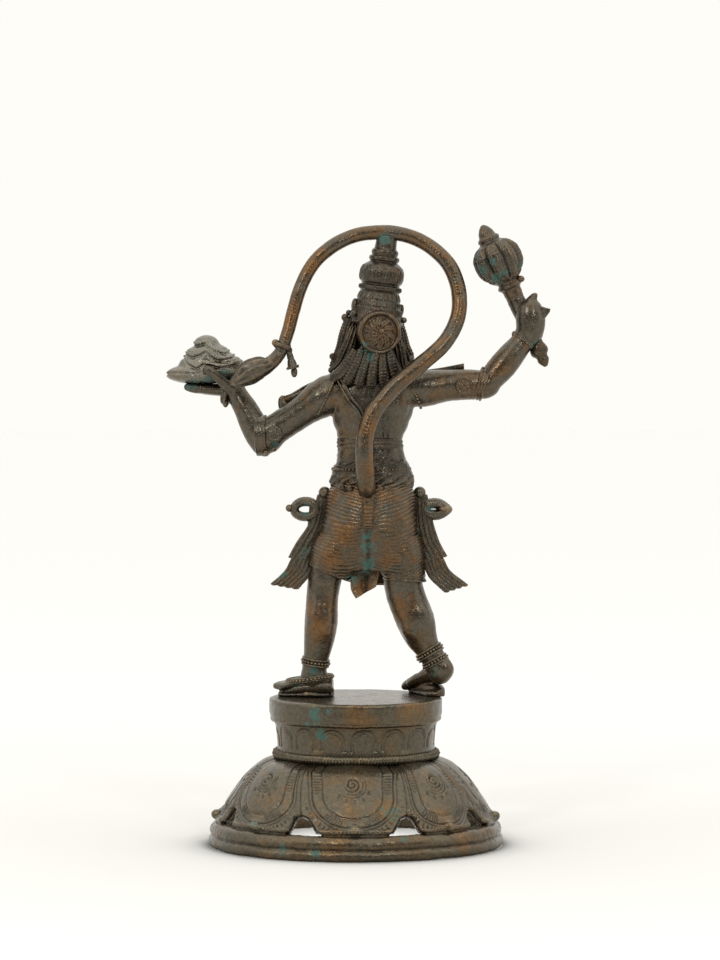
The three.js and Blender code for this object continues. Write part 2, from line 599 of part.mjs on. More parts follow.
// The head leans with its crown and looks a little towards the mountain
const headPlace = new THREE.Matrix4().compose(
  at(-9.4, -1, 188),
  new THREE.Quaternion().setFromEuler(new THREE.Euler(0, -7.6 * degree, 13 * degree, 'YXZ')),
  new THREE.Vector3(1, 1, 1),
);

const body = fuse([
  torso(), ...garment(), ...legs(), ...feet(), ...footBlocks(), ...arms(), ...leftHand(), ...rightHand(),
  ...mace(), ...mountain(), ...tail(), ...hair(), ...scarf(), ...sashes(), ...ornaments(),
]);
const crowned = fuse([...head(), ...crown(), ...plaque()], headPlace);
const figure = body.add(crowned);

const model = new THREE.Group();
model.add(piece('lotus_pedestal', pedestal, worn));
model.add(piece('hanuman_figure', figure, bronze, new THREE.Matrix4().makeTranslation(0, 0, plinthTop)));

export default model;
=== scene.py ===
"""A cast bronze striding monkey deity on a pierced lotus pedestal, in metres, in the frame of the solids.

The figure is drawn in units of about a millimetre from the plinth's top, the pedestal in millimetres from the
ground. The figure faces -Y, the photograph looks along -Y at its back.
"""

import math

import bpy
import numpy as np
import openvdb
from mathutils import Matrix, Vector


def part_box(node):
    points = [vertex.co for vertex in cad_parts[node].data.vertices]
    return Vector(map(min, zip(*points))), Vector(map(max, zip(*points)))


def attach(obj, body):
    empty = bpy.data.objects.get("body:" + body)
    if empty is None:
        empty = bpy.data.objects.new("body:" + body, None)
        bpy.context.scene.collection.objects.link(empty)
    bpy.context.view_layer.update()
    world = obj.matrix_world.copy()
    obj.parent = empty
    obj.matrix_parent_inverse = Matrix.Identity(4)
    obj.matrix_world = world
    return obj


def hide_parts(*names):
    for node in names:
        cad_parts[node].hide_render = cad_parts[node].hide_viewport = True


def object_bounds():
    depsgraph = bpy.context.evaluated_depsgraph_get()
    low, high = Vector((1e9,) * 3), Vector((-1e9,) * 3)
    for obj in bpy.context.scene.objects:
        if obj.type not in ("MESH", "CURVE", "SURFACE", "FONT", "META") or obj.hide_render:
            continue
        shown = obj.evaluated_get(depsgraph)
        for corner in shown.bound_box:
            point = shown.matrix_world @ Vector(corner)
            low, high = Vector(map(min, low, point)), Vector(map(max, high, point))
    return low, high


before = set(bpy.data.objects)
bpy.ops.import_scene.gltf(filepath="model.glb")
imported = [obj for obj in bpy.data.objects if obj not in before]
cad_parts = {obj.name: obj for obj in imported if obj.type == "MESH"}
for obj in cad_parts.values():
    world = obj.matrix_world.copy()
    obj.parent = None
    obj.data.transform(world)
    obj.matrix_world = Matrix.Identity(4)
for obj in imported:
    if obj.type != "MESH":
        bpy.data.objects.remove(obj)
cad_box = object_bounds()

MM = 0.001
FIGURE_HEIGHT = 245.6
DRAWN_UNITS = 246
UNIT = MM * FIGURE_HEIGHT / DRAWN_UNITS
PLINTH_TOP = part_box("lotus_pedestal")[1][2]
TAU = 2 * math.pi
UP = np.array([0.0, 0.0, 1.0])
BACK = np.array([0.0, 1.0, 0.0])
# A direction that no cord runs along
CORD_UP = np.array([0.13, 0.21, 0.97])
# Rows and sides of a small bead and of a larger knob
BEAD, KNOB = (4, 8), (8, 14)
# Relief that stands for the worn top of every bead
BALL_WEAR = 0.3

# Numbers and noise


def smooth(x, low, high):
    """0 below low, 1 above high, smooth between."""
    t = np.clip((x - low) / (high - low), 0, 1)
    return t * t * (3 - 2 * t)


def ridge(x, width):
    """A soft bump of height 1 at x = 0."""
    return np.exp(-((x / width) ** 2))


def between(x, low, high, soft):
    """1 from low to high, fading over soft at both ends."""
    return smooth(x, low, low + soft) * (1 - smooth(x, high - soft, high))


def lattice(cell, seed):
    """A repeatable value from -1 to 1 for each whole-numbered cell."""
    n = cell.astype(np.int64)
    h = n[..., 0] * 374761393 + n[..., 1] * 668265263 + n[..., 2] * 1440662683 + seed * 362437
    h = (h ^ (h >> 13)) * 1274126177 & 0xFFFFFFFF
    return ((h ^ (h >> 16)) & 0xFFFF) / 32767.5 - 1


def noise(points, size, seed):
    """Smooth noise from -1 to 1 with blotches of about the given size."""
    p = np.asarray(points) / size
    cell = np.floor(p)
    w = p - cell
    w = w * w * (3 - 2 * w)
    total = 0
    for corner in np.ndindex(2, 2, 2):
        c = np.array(corner)
        weight = np.prod(np.where(c, w, 1 - w), axis=-1)
        total = total + weight * lattice(cell + c, seed)
    return total


# Curves


def curve(points, ts):
    """Points on the smooth curve through a list, the same curve as the solids use."""
    p = np.asarray(points, float)
    p = np.vstack([2 * p[0] - p[1], p, 2 * p[-1] - p[-2]])
    x = np.clip(np.asarray(ts, float), 0, 1) * (len(p) - 3)
    i = np.minimum(x.astype(int), len(p) - 4)
    w = (x - i)[:, None]
    p0, p1, p2, p3 = p[i], p[i + 1], p[i + 2], p[i + 3]

    def step(a, b):
        return np.sqrt(np.linalg.norm(b - a, axis=1))[:, None]

    d1 = step(p1, p2)
    d1 = np.where(d1 < 1e-4, 1, d1)
    d0 = step(p0, p1)
    d0 = np.where(d0 < 1e-4, d1, d0)
    d2 = step(p2, p3)
    d2 = np.where(d2 < 1e-4, d1, d2)
    m1 = ((p1 - p0) / d0 - (p2 - p0) / (d0 + d1) + (p2 - p1) / d1) * d1
    m2 = ((p2 - p1) / d1 - (p3 - p1) / (d1 + d2) + (p3 - p2) / d2) * d1
    c2 = -3 * p1 + 3 * p2 - 2 * m1 - m2
    c3 = 2 * p1 - 2 * p2 + m1 + m2
    return p1 + m1 * w + c2 * w**2 + c3 * w**3


def frames(stations, ts, up):
    """Centres, half widths and the along, wide and deep directions at shares of a limb's length."""
    rows = [(s[0], s[1], s[2], s[3], s[4] if len(s) > 4 else s[3]) for s in stations]
    path = [r[:3] for r in rows]
    centre = curve(path, ts)
    half = curve([(r[3], r[4], 0) for r in rows], ts)[:, :2]
    along = curve(path, np.minimum(ts + 1e-4, 1)) - curve(path, np.maximum(ts - 1e-4, 0))
    along /= np.linalg.norm(along, axis=1)[:, None]
    deep = up - along * (along @ up)[:, None]
    deep /= np.linalg.norm(deep, axis=1)[:, None]
    return centre, half, along, np.cross(along, deep), deep


# Closed surfaces: a patch is (points [rows, columns, 3], relief [rows, columns])


def tube(stations, rows, sides, up=BACK, carve=None):
    """An oval limb. carve(s, a, p) gives the relief at a length in units, an angle and a place."""
    ts = np.linspace(0, 1, rows)
    centre, half, _, wide, deep = frames(stations, ts, up)
    s = np.concatenate([[0], np.cumsum(np.linalg.norm(np.diff(centre, axis=0), axis=1))])
    a = np.linspace(0, TAU, sides, endpoint=False)

    def surface(extra):
        ra = (half[:, 0, None] + extra)[..., None]
        rb = (half[:, 1, None] + extra)[..., None]
        c, d = np.cos(a)[None, :, None], np.sin(a)[None, :, None]
        return centre[:, None] + wide[:, None] * c * ra + deep[:, None] * d * rb

    relief = np.zeros((rows, sides))
    if carve:
        relief = relief + carve(s[:, None], a[None, :], surface(relief))
    return surface(relief), relief


def ball(centre, radii, rows, sides):
    """A rounded bead or boss."""
    v = np.linspace(0, math.pi, rows + 2)[1:-1, None]
    a = np.linspace(0, TAU, sides, endpoint=False)[None, :]
    r = np.broadcast_to(np.asarray(radii, float), 3)
    points = r * np.stack([np.sin(v) * np.cos(a), np.sin(v) * np.sin(a), np.cos(v) + 0 * a], -1)
    return points + np.asarray(centre, float), np.full(points.shape[:2], BALL_WEAR)


def cord(points, radius, rows, sides):
    """A round cord through points."""
    return tube([(*p, radius) for p in points], rows, sides, CORD_UP)


def rotation(x=0, y=0, z=0):
    """A turn by degrees about X, then Y, then Z."""
    cx, cy, cz = (math.cos(math.radians(v)) for v in (x, y, z))
    sx, sy, sz = (math.sin(math.radians(v)) for v in (x, y, z))
    rx = np.array([[1, 0, 0], [0, cx, -sx], [0, sx, cx]])
    ry = np.array([[cy, 0, sy], [0, 1, 0], [-sy, 0, cy]])
    rz = np.array([[cz, -sz, 0], [sz, cz, 0], [0, 0, 1]])
    return rz @ ry @ rx


def hoop(centre, axis, a, b, radius, rows, sides, carve=None, up=BACK):
    """An oval ring of cord about an axis."""
    axis = np.asarray(axis, float) / np.linalg.norm(axis)
    deep = up - axis * (axis @ up)
    deep /= np.linalg.norm(deep)
    wide = np.cross(axis, deep)
    t = np.linspace(0, TAU, rows, endpoint=False)[:, None]
    s = np.linspace(0, TAU, sides, endpoint=False)[None, :]
    relief = np.zeros((rows, sides)) + (carve(t, s) if carve else 0)
    r = (radius + relief)[..., None]
    t, s = t[..., None], s[..., None]
    out = wide * np.cos(t) + deep * np.sin(t)
    middle = np.asarray(centre, float) + wide * a * np.cos(t) + deep * b * np.sin(t)
    points = middle + out * r * np.cos(s) + axis * r * np.sin(s)
    return points, relief, "ring"


def fan(outer, inner, rows, columns, thick, fold, facing=BACK, waves=0.0, scallop=0.0):
    """A slab of cloth between two edges. Its end is scalloped by a share of its length, in a number of waves.

    fold(u, v) gives its fine ripple, u across and v down, both 0 to 1.
    """
    v = np.linspace(0, 1, rows)
    u = np.linspace(0, 1, columns)
    reach = (v[:, None] * (1 - scallop * (1 - np.abs(np.sin(math.pi * waves * u[None, :]))))).reshape(-1)
    a, b = (curve(edge, reach).reshape(rows, columns, 3) for edge in (outer, inner))
    face = a + (b - a) * u[None, :, None]
    ripple = fold(u[None, :], v[:, None]) + np.zeros((rows, columns))
    rim = thick / 2 * (0.3 + 0.7 * np.sqrt(np.clip(1 - np.abs(2 * u - 1) ** 8, 0, 1)))[None, :, None]
    front = face + facing * (rim + ripple[..., None])
    back = face - facing * rim
    points = np.concatenate([front, back[:, ::-1]], axis=1)
    relief = np.concatenate([ripple, 0 * ripple], axis=1)
    return points, relief, ("slab", columns)


def turned(profile, rows, columns, carve):
    """A turned form about Z from [radius, height] pairs, in even rows, or at the pairs where rows is None.

    carve(a, r, z) lifts it along its outward normal.
    """
    p = np.asarray(profile, float)
    s = np.concatenate([[0], np.cumsum(np.linalg.norm(np.diff(p, axis=0), axis=1))])
    at = s if rows is None else np.linspace(0, s[-1], rows)
    r, z = np.interp(at, s, p[:, 0]), np.interp(at, s, p[:, 1])
    normal = np.stack([np.gradient(z, at), -np.gradient(r, at)], -1)
    normal /= np.linalg.norm(normal, axis=1)[:, None] + 1e-9
    a = np.linspace(0, TAU, columns, endpoint=False)[None, :]
    r, z = r[:, None], z[:, None]
    relief = np.zeros((len(at), columns)) + carve(a, r, z)
    radius = np.maximum(r + relief * normal[:, :1], 0.01)
    return np.stack([radius * np.cos(a), radius * np.sin(a), z + relief * normal[:, 1:]], -1), relief


def placed(patches, turn, offset):
    """The same patches turned and then moved."""
    turn, offset = np.asarray(turn), np.asarray(offset, float)
    out = []
    for patch in patches:
        if isinstance(patch, Clay):
            patch.turn, patch.offset = turn, offset
            out.append(patch)
        else:
            out.append((patch[0] @ turn.T + offset, *patch[1:]))
    return out


# Blended forms on a grid


# Distance beyond a form at which its field is still written, and what the field holds elsewhere
MARGIN, FAR = 3, 4.0
# Steps between two stations of a limb, and how far a step melts into the next
LIMB_STEPS, STEP_MELT = 3, 0.4
# Cell sizes of the three blended pieces
BODY_CELL, FACE_CELL, ROCK_CELL = 0.88, 0.48, 0.55


class Clay:
    """Forms that melt into each other, held as distances on a grid and turned into one skin."""

    def __init__(self, low, high, cell):
        self.low = np.asarray(low, float)
        self.cell = cell
        self.shape = np.ceil((np.asarray(high, float) - self.low) / cell).astype(int) + 1
        self.field = np.full(self.shape, FAR, np.float32)
        self.turn, self.offset = np.eye(3), np.zeros(3)

    def _part(self, low, high):
        """The grid's slices inside a box, and the places of their cells."""
        a = np.clip(np.floor((low - self.low) / self.cell).astype(int), 0, self.shape)
        b = np.clip(np.ceil((high - self.low) / self.cell).astype(int) + 1, 0, self.shape)
        cut = tuple(slice(i, j) for i, j in zip(a, b))
        axes = [self.low[n] + self.cell * np.arange(a[n], b[n]) for n in range(3)]
        return cut, np.stack(np.meshgrid(*axes, indexing="ij"), -1)

    def _blend(self, cut, distance, melt, take):
        """Melts a form into the field, or takes it out, softly over the distance melt."""
        old = self.field[cut]
        if take:
            h = np.clip(0.5 - 0.5 * (old + distance) / melt, 0, 1)
            new = old + (-distance - old) * h + melt * h * (1 - h)
        else:
            h = np.clip(0.5 + 0.5 * (old - distance) / melt, 0, 1)
            new = old + (distance - old) * h - melt * h * (1 - h)
        self.field[cut] = new

    def lump(self, centre, radii, turn=None, melt=1.0, take=False):
        """Adds an oval lump, or takes it away."""
        centre, radii = np.asarray(centre, float), np.broadcast_to(np.asarray(radii, float), 3)
        reach = radii.max() + MARGIN
        cut, p = self._part(centre - reach, centre + reach)
        p = p - centre
        if turn is not None:
            p = p @ np.asarray(turn)
        k0 = np.linalg.norm(p / radii, axis=-1)
        k1 = np.linalg.norm(p / radii**2, axis=-1) + 1e-6
        self._blend(cut, k0 * (k0 - 1) / k1, melt, take)
        return self

    def limb(self, stations, melt, up=BACK, take=False):
        """Adds an oval limb, or takes it away. Its steps melt little, its two ends more."""
        ts = np.linspace(0, 1, (len(stations) - 1) * LIMB_STEPS + 1)
        centre, half, along, wide, deep = frames(stations, ts, up)
        for i in range(len(ts) - 1):
            p, q = centre[i], centre[i + 1]
            reach = max(half[i].max(), half[i + 1].max()) + MARGIN
            cut, x = self._part(np.minimum(p, q) - reach, np.maximum(p, q) + reach)
            step = q - p
            h = np.clip((x - p) @ step / (step @ step), 0, 1)
            d = x - p - h[..., None] * step
            size = half[i] + h[..., None] * (half[i + 1] - half[i])
            least = size.min(-1)
            w, e, f = d @ wide[i], d @ deep[i], d @ along[i]
            k = np.sqrt((w / size[..., 0]) ** 2 + (e / size[..., 1]) ** 2 + (f / least) ** 2)
            at_end = i in (0, len(ts) - 2)
            self._blend(cut, (k - 1) * least, melt if at_end else min(melt, STEP_MELT), take)
        return self

    def press(self, low, high, relief):
        """Adds relief(p), in units outwards, inside a box."""
        cut, p = self._part(np.asarray(low, float), np.asarray(high, float))
        self.field[cut] -= relief(p).astype(np.float32)
        return self

    def skin(self):
        """Vertices and faces of the surface."""
        grid = openvdb.FloatGrid(FAR)
        grid.copyFromArray(self.field)
        points, quads = grid.convertToQuads(isovalue=0.0)
        return (self.low + points * self.cell) @ self.turn.T + self.offset, quads


# Building objects


def shell(patch):
    """Vertices, faces and relief of a closed patch, its faces outwards."""
    points, relief, kind = (*patch, "open")[:3]
    rows, columns = points.shape[:2]
    verts = points.reshape(-1, 3)
    level = relief.reshape(-1)
    i = np.arange(rows if kind == "ring" else rows - 1)[:, None]
    j = np.arange(columns)[None, :]
    here, there = i * columns, (i + 1) % rows * columns
    k = (j + 1) % columns
    quads = np.stack([here + j, here + k, there + k, there + j], -1).reshape(-1, 4)
    tris = np.zeros((0, 3), int)
    if isinstance(kind, tuple):
        wide = kind[1]
        step = (wide - 1) // (columns - wide - 1)
        last = (rows - 1) * columns
        caps = []
        for n in range(wide - 1):
            far = columns - 1 - n // step
            caps.append((n + 1, n, far))
            if (n + 1) % step == 0:
                caps.append((n + 1, far, far - 1))
        caps = np.array(caps)
        tris = np.vstack([caps, caps[:, ::-1] + last])
    elif kind != "ring":
        hubs = np.array([points[0].mean(0), points[-1].mean(0)])
        n = len(verts)
        verts = np.vstack([verts, hubs])
        level = np.concatenate([level, [relief[0].mean(), relief[-1].mean()]])
        j, k = j[0], k[0]
        last = (rows - 1) * columns
        tris = np.vstack([
            np.stack([j * 0 + n, k, j], -1), np.stack([j * 0 + n + 1, last + j, last + k], -1),
        ])
    a, b, c = verts[quads[:, 0]], verts[quads[:, 1]], verts[quads[:, 2]]
    d = verts[quads[:, 3]]
    volume = np.einsum("ij,ij->", a, np.cross(b, c)) + np.einsum("ij,ij->", a, np.cross(c, d))
    if len(tris):
        volume += np.einsum("ij,ij->", verts[tris[:, 0]], np.cross(verts[tris[:, 1]], verts[tris[:, 2]]))
    if volume < 0:
        quads, tris = quads[:, ::-1], tris[:, ::-1]
    return verts, quads.tolist() + tris.tolist(), level


def joined(patches):
    """Vertices, faces and relief of all patches together."""
    verts, faces, levels, start = [], [], [], 0
    for patch in patches:
        if isinstance(patch, Clay):
            v, f = patch.skin()
            f, level = f[:, ::-1].tolist(), np.zeros(len(v))
        else:
            v, f, level = shell(patch)
        verts.append(v)
        faces += [[n + start for n in face] for face in f]
        levels.append(level)
        start += len(v)
    return np.vstack(verts), faces, np.concatenate(levels)


# Green corrosion in the photograph: place in units (figure) or millimetres (pedestal), and reach
FIGURE_GREEN = [
    (-1, 14, 182, 5), (-5.5, 14, 179.5, 5.5), (-9, 13, 177, 4), (-6.2, 19.4, 85, 6.5), (-6.5, 18, 78, 8.5),
    (-6.5, 15.4, 70, 8.5), (-3, 16.2, 180.6, 6), (-7, 16.4, 177, 6.4), (-4, 9, 66, 9), (2, 8.6, 62, 6),
    (38, 4, 64, 6), (27, 3, 76, 7), (26, 2, 97, 6), (29, 3, 88, 6), (-31, 4, 66, 5), (-39, 2, 97, 5),
    (-60, -3, 230, 8), (-64, 1, 220, 8), (-73, 1, 214.6, 8), (-78, 3, 219, 6), (-70, 4, 225, 5),
    (-84, -4, 223, 5), (-64, -3, 238, 4), (-91, -2, 183.5, 5), (77, -1, 165, 6), (67, -1, 168, 6),
    (85, -3, 162, 6), (-14.7, 4, 237, 6), (-42, 5, 14, 6), (30, 0, 8, 7), (42, 3, 131, 5),
    (14.6, 2, 143, 5), (-21, 8, 205, 4), (-46, 0, 8, 5), (22, 5, 14, 5),
]
# Worn places that show orange
FIGURE_ORANGE = [
    (19, 8, 38, 14), (12, 9, 50, 8), (6, 18, 84, 6), (12, 17, 72, 7), (-18, 17, 70, 5), (-10, 24, 138, 8),
    (-9, 25, 120, 8), (-24, 8, 46, 9), (-47, 2, 15, 4), (-1, 8, 56, 6), (34, 8, 196, 9), (20, 4, 226, 8),
    (-50, 8, 206, 9), (-76, 3, 172, 8), (26, 5, 152, 7), (-5, 19, 100, 5), (-2, 16, 182, 5),
]
# Places painted darker as shade: the tail's shadow on the back, and hollows between parts
FIGURE_PAINTED_SHADE = [
    (-14, 13, 146, 6), (-15, 13, 138, 7), (-16, 12.6, 129, 8), (-20, 12, 121, 8), (-12, 15, 118, 6),
    (3, 12, 122, 7), (-24, 3, 122, 7), (9, 8, 181, 8), (5, 12, 176, 5), (-20, 8, 176, 8), (15, 4, 96, 6),
    (-31, 4, 96, 6), (-8, 16, 108, 5), (-6, 0, 196, 12), (28, -4, 155, 7), (-97, -6, 180, 7),
    (19, -2, 5, 7),
]
# Places that stay grey or olive
FIGURE_GREY = [
    (52, 14, 168, 14), (34, 10, 177, 9), (-8, 12, 150, 12), (50, -3, 140, 12), (64, -6, 160, 10),
    (-92, -5, 196, 12),
]
# Orange and green places on the pedestal
PEDESTAL_ORANGE = [
    (-30, 32, 71, 12), (0, 45, 71, 10), (-16, 66, 26, 8), (40, 50, 34, 10), (-46, 56, 18, 9),
    (10, 74, 9, 9), (-50, 50, 9, 9),
]
PEDESTAL_GREEN = [
    (22, 41, 70, 9), (26, 38, 66, 6), (-20, 66, 24, 10), (-14, 68, 27, 8), (28, 68, 21, 7), (45, 56, 22, 6),
    (-28, 68, 17, 5), (-24, 70, 12, 5), (52, 52, 17, 5), (14, 43, 73, 4), (-34, 30, 62, 5),
    (-30, 36, 70, 5), (-36, 62, 21, 6), (-56, 44, 22, 6), (37, 66, 5, 6), (20, 73, 4, 5), (18, 38, 60, 6),
    (60, -40, 24, 8), (-30, -64, 20, 9), (10, -44, 58, 6), (66, 20, 10, 6), (-70, 18, 8, 5),
]
# How far a painted shade spot darkens, how far an orange spot warms, and the gap in metres kept to the box of
# the solids
SHADE_DARKENING, WARMER, BOX_GAP = 0.7, 0.7, 1e-5


def spot_share(points, spots):
    """1 at the given places, fading to 0 at one and a quarter times their reach."""
    share = np.zeros(len(points))
    for x, y, z, reach in spots:
        distance = np.linalg.norm(points - (x, y, z), axis=1)
        share = np.maximum(share, np.clip(1.25 - distance / reach, 0, 1))
    return share


def piece(name, patches, material, node, slot, uneven=0.16, warm=0.0, dim=0.0):
    """One visible piece that stands for a node, with relief, corrosion, warmth and darkness per vertex, the
    darkness partly a darker tone and partly painted shade.
    """
    on_figure = node == "hanuman_figure"
    verts, faces, level = joined(patches)
    drift = np.stack([noise(verts, 9, n) + 0.35 * noise(verts, 2.6, n + 7) for n in (1, 2, 3)], -1)
    green = spot_share(verts, FIGURE_GREEN if on_figure else PEDESTAL_GREEN)
    orange = spot_share(verts, FIGURE_ORANGE if on_figure else PEDESTAL_ORANGE)
    orange = orange - spot_share(verts, FIGURE_GREY if on_figure else [])
    # Painted shade: the listed spots darken the figure where shade falls
    dim = dim + SHADE_DARKENING * spot_share(verts, FIGURE_PAINTED_SHADE if on_figure else [])
    verts = verts + uneven * drift
    verts[:, 2] = np.maximum(verts[:, 2], 0)
    if on_figure:
        metres = verts * UNIT + (0, 0, PLINTH_TOP)
    else:
        reach = np.hypot(verts[:, 0], verts[:, 1])
        verts[:, :2] *= np.minimum(1, FOOT_RADIUS / np.maximum(reach, 1e-6))[:, None]
        metres = verts * MM
    metres = np.clip(metres, np.array(cad_box[0]) + BOX_GAP, np.array(cad_box[1]) - BOX_GAP)
    mesh = bpy.data.meshes.new(name)
    mesh.from_pydata(metres.tolist(), [], faces)
    mesh.polygons.foreach_set("use_smooth", [True] * len(mesh.polygons))
    tints = {"relief": level, "green": green, "warm": warm + WARMER * orange, "dim": np.minimum(dim, 1)}
    for label, values in tints.items():
        mesh.attributes.new(label, "FLOAT", "POINT").data.foreach_set("value", values.astype(np.float32))
    mesh.materials.append(material)
    mesh.validate()
    thing = bpy.data.objects.new(name, mesh)
    bpy.context.scene.collection.objects.link(thing)
    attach(thing, "root")
    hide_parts(node)


def figure_piece(name, patches, **look):
    """A piece of the figure in its common bronze."""
    piece(name, patches, FIGURE, "hanuman_figure", "figure_bronze", **look)


def pedestal_piece(name, patches, **look):
    """A piece of the pedestal in its bronze."""
    piece(name, patches, BASE, "lotus_pedestal", "pedestal_bronze", **look)


# Materials


class Nodes:
    """A node tree written as expressions."""

    def __init__(self, tree):
        self.tree = tree
        tree.nodes.clear()

    def add(self, kind, inputs=None, **settings):
        """A shader node. An input is a value, or a socket to link."""
        node = self.tree.nodes.new("ShaderNode" + kind)
        for key, value in settings.items():
            setattr(node, key, value)
        for key, value in (inputs or {}).items():
            if isinstance(value, bpy.types.NodeSocket):
                self.tree.links.new(value, node.inputs[key])
            else:
                node.inputs[key].default_value = value
        return node

    def calc(self, operation, a, b):
        return self.add("Math", {0: a, 1: b}, operation=operation).outputs[0]

    def plus(self, a, b):
        return self.calc("ADD", a, b)

    def minus(self, a, b):
        return self.calc("SUBTRACT", a, b)

    def times(self, a, b):
        return self.calc("MULTIPLY", a, b)

    def ramp(self, value, low, high):
        """0 below low, 1 above high, smooth between."""
        return self.add("MapRange", {0: value, 1: low, 2: high}, interpolation_type="SMOOTHSTEP").outputs[0]

    def mix(self, share, a, b):
        return self.add("Mix", {0: share, 6: a, 7: b}, data_type="RGBA").outputs[2]

    def scale(self, tone, factor):
        return self.add("VectorMath", {0: tone, 3: factor}, operation="SCALE").outputs[0]

    def spots(self, place, scale, detail=3.0, rough=0.6):
        inputs = {"Vector": place, "Scale": scale, "Detail": detail, "Roughness": rough}
        return self.add("TexNoise", inputs).outputs[0]


def new_material(name):
    """A material and its empty nodes."""
    material = bpy.data.materials.new(name)
    material.use_nodes = True
    return material, Nodes(material.node_tree)


# Green corrosion and its darker grain, as the shader takes them
GREEN, DEEP_GREEN = (0.036, 0.15, 0.125, 1), (0.018, 0.075, 0.0625, 1)


def bronze(name, hollow_and_shade_colour, grey, brown, orange, worn):
    """Old cast bronze: grey and brown in patches, dark patina in creases with painted shade in hollows, worn
    high spots and green corrosion.
    """
    material, n = new_material(name)
    place = n.add("TexCoord").outputs["Object"]
    broad = n.spots(place, 42.0, 4.0)
    small = n.spots(place, 210.0, 4.0, 0.7)
    grain = n.spots(place, 1500.0, 2.0)
    drift = n.spots(n.add("Mapping", {"Vector": place, "Location": (3.1, 1.7, 5.3)}).outputs[0], 75.0, 4.0)
    relief = n.add("Attribute", attribute_name="relief").outputs["Fac"]
    corroded = n.add("Attribute", attribute_name="green").outputs["Fac"]
    warm = n.add("Attribute", attribute_name="warm").outputs["Fac"]
    dim = n.add("Attribute", attribute_name="dim").outputs["Fac"]
    point = n.add("NewGeometry").outputs["Pointiness"]
    # Ambient occlusion, which paints shade into hollows and between parts
    occlusion = n.add("AmbientOcclusion", {"Distance": 0.008}, samples=6).outputs["AO"]

    # Grey and brown in patches, orange where worn
    blotch = n.plus(n.times(broad, 0.6), n.times(small, 0.4))
    tone = n.mix(n.ramp(n.plus(blotch, n.times(warm, 0.12)), 0.46, 0.64), grey, brown)
    ember = n.plus(n.times(drift, 0.7), n.times(small, 0.3))
    ember = n.plus(ember, n.times(warm, 0.22))
    tone = n.mix(n.times(n.ramp(ember, 0.53, 0.76), 0.76), tone, orange)
    # Bright high spots, dark patina in creases with painted shade from ambient occlusion, a finer mottle over
    # both
    peak = n.times(n.minus(point, 0.5), 3.2)
    height = n.plus(n.times(relief, 0.22), peak)
    scuffed = n.plus(height, n.times(n.minus(small, 0.5), 1.3))
    tone = n.mix(n.times(n.ramp(scuffed, 0.1, 0.55), 0.6), tone, worn)
    # Dark patina in creases and hollows, and painted shade where ambient occlusion finds parts close together
    hollow_and_shade_share = n.minus(n.times(height, -1.4), n.times(occlusion, 0.8))
    tone = n.mix(n.times(n.ramp(hollow_and_shade_share, -0.66, 0.0), 0.86), tone, hollow_and_shade_colour)
    mottle = n.ramp(n.spots(place, 520.0, 5.0, 0.75), 0.3, 0.7)
    tone = n.scale(tone, n.plus(0.8, n.times(mottle, 0.46)))
    # A darker tone for some pieces, and painted shade at the listed shade spots
    tone = n.mix(n.times(dim, 0.55), tone, hollow_and_shade_colour)
    # Green corrosion in the marked places
    spread = n.plus(corroded, n.times(n.minus(small, 0.5), 2.2))
    verdigris = n.times(n.ramp(spread, 0.68, 1.05), n.ramp(corroded, 0.0, 0.25))
    verdigris = n.times(verdigris, n.plus(0.5, n.times(mottle, 0.42)))
    tone = n.mix(verdigris, tone, n.mix(grain, GREEN, DEEP_GREEN))
    # Gloss, and the fine grain and pits of the cast skin
    rough = n.plus(0.11, n.times(small, 0.3))
    rough = n.plus(rough, n.times(verdigris, 0.4))
    metal = n.minus(0.8, n.times(verdigris, 0.8))
    pits = n.ramp(n.spots(place, 620.0, 2.0), 0.34, 0.46)
    skin = n.plus(n.times(grain, 0.25), n.times(small, 0.75))
    skin = n.plus(skin, n.times(pits, 0.35))
    bump = n.add("Bump", {"Strength": 0.34, "Distance": 0.0006, "Height": skin}).outputs[0]
    inputs = {"Base Color": tone, "Metallic": metal, "Roughness": rough, "Normal": bump}
    shader = n.add("BsdfPrincipled", inputs).outputs[0]
    n.add("OutputMaterial", {"Surface": shader})
    return material


def paint(red, green, blue):
    """A colour given as it looks on a screen, 0 to 255, for a shader socket."""
    def linear(c):
        c /= 255
        return c / 12.92 if c <= 0.04045 else ((c + 0.055) / 1.055) ** 2.4
    return linear(red), linear(green), linear(blue), 1.0


# Each bronze with its colour for dark patina and painted shade, then grey, brown, orange and worn high spots
FIGURE = bronze(
    "old_bronze", paint(25, 21, 17), paint(82, 76, 65), paint(89, 73, 54), paint(110, 77, 44),
    paint(136, 117, 92),
)
BASE = bronze(
    "old_bronze_base", paint(28, 24, 20), paint(84, 78, 65), paint(90, 76, 57), paint(106, 80, 51),
    paint(130, 115, 92),
)
ROCK = bronze(
    "old_bronze_grey", paint(44, 42, 37), paint(112, 109, 98), paint(114, 107, 92), paint(114, 97, 76),
    paint(164, 160, 146),
)


def unit(v):
    """The direction of v."""
    return np.asarray(v, float) / np.linalg.norm(v)


def beads(centre, axis, a, b, size, count, up=BACK):
    """A ring of beads about an axis."""
    axis = unit(axis)
    deep = unit(up - axis * (axis @ up))
    wide = np.cross(axis, deep)
    out = []
    for t in np.linspace(0, TAU, count, endpoint=False):
        out.append(ball(np.asarray(centre) + wide * a * math.cos(t) + deep * b * math.sin(t), size, *BEAD))
    return out


def bangle(centre, axis, a, b, width, thick, count):
    """Two plain rims with a row of beads between them."""
    axis = unit(axis)
    centre = np.asarray(centre, float)
    rims = [hoop(centre + axis * w, axis, a, b, thick, 64, 8) for w in (-width / 2, width / 2)]
    return rims + beads(centre, axis, a + 0.3, b + 0.3, 0.46 * TAU * a / count, count)


def knobs(*places):
    """Round knobs from [x, y, z, radius]."""
    return [ball(p[:3], p[3], *KNOB) for p in places]


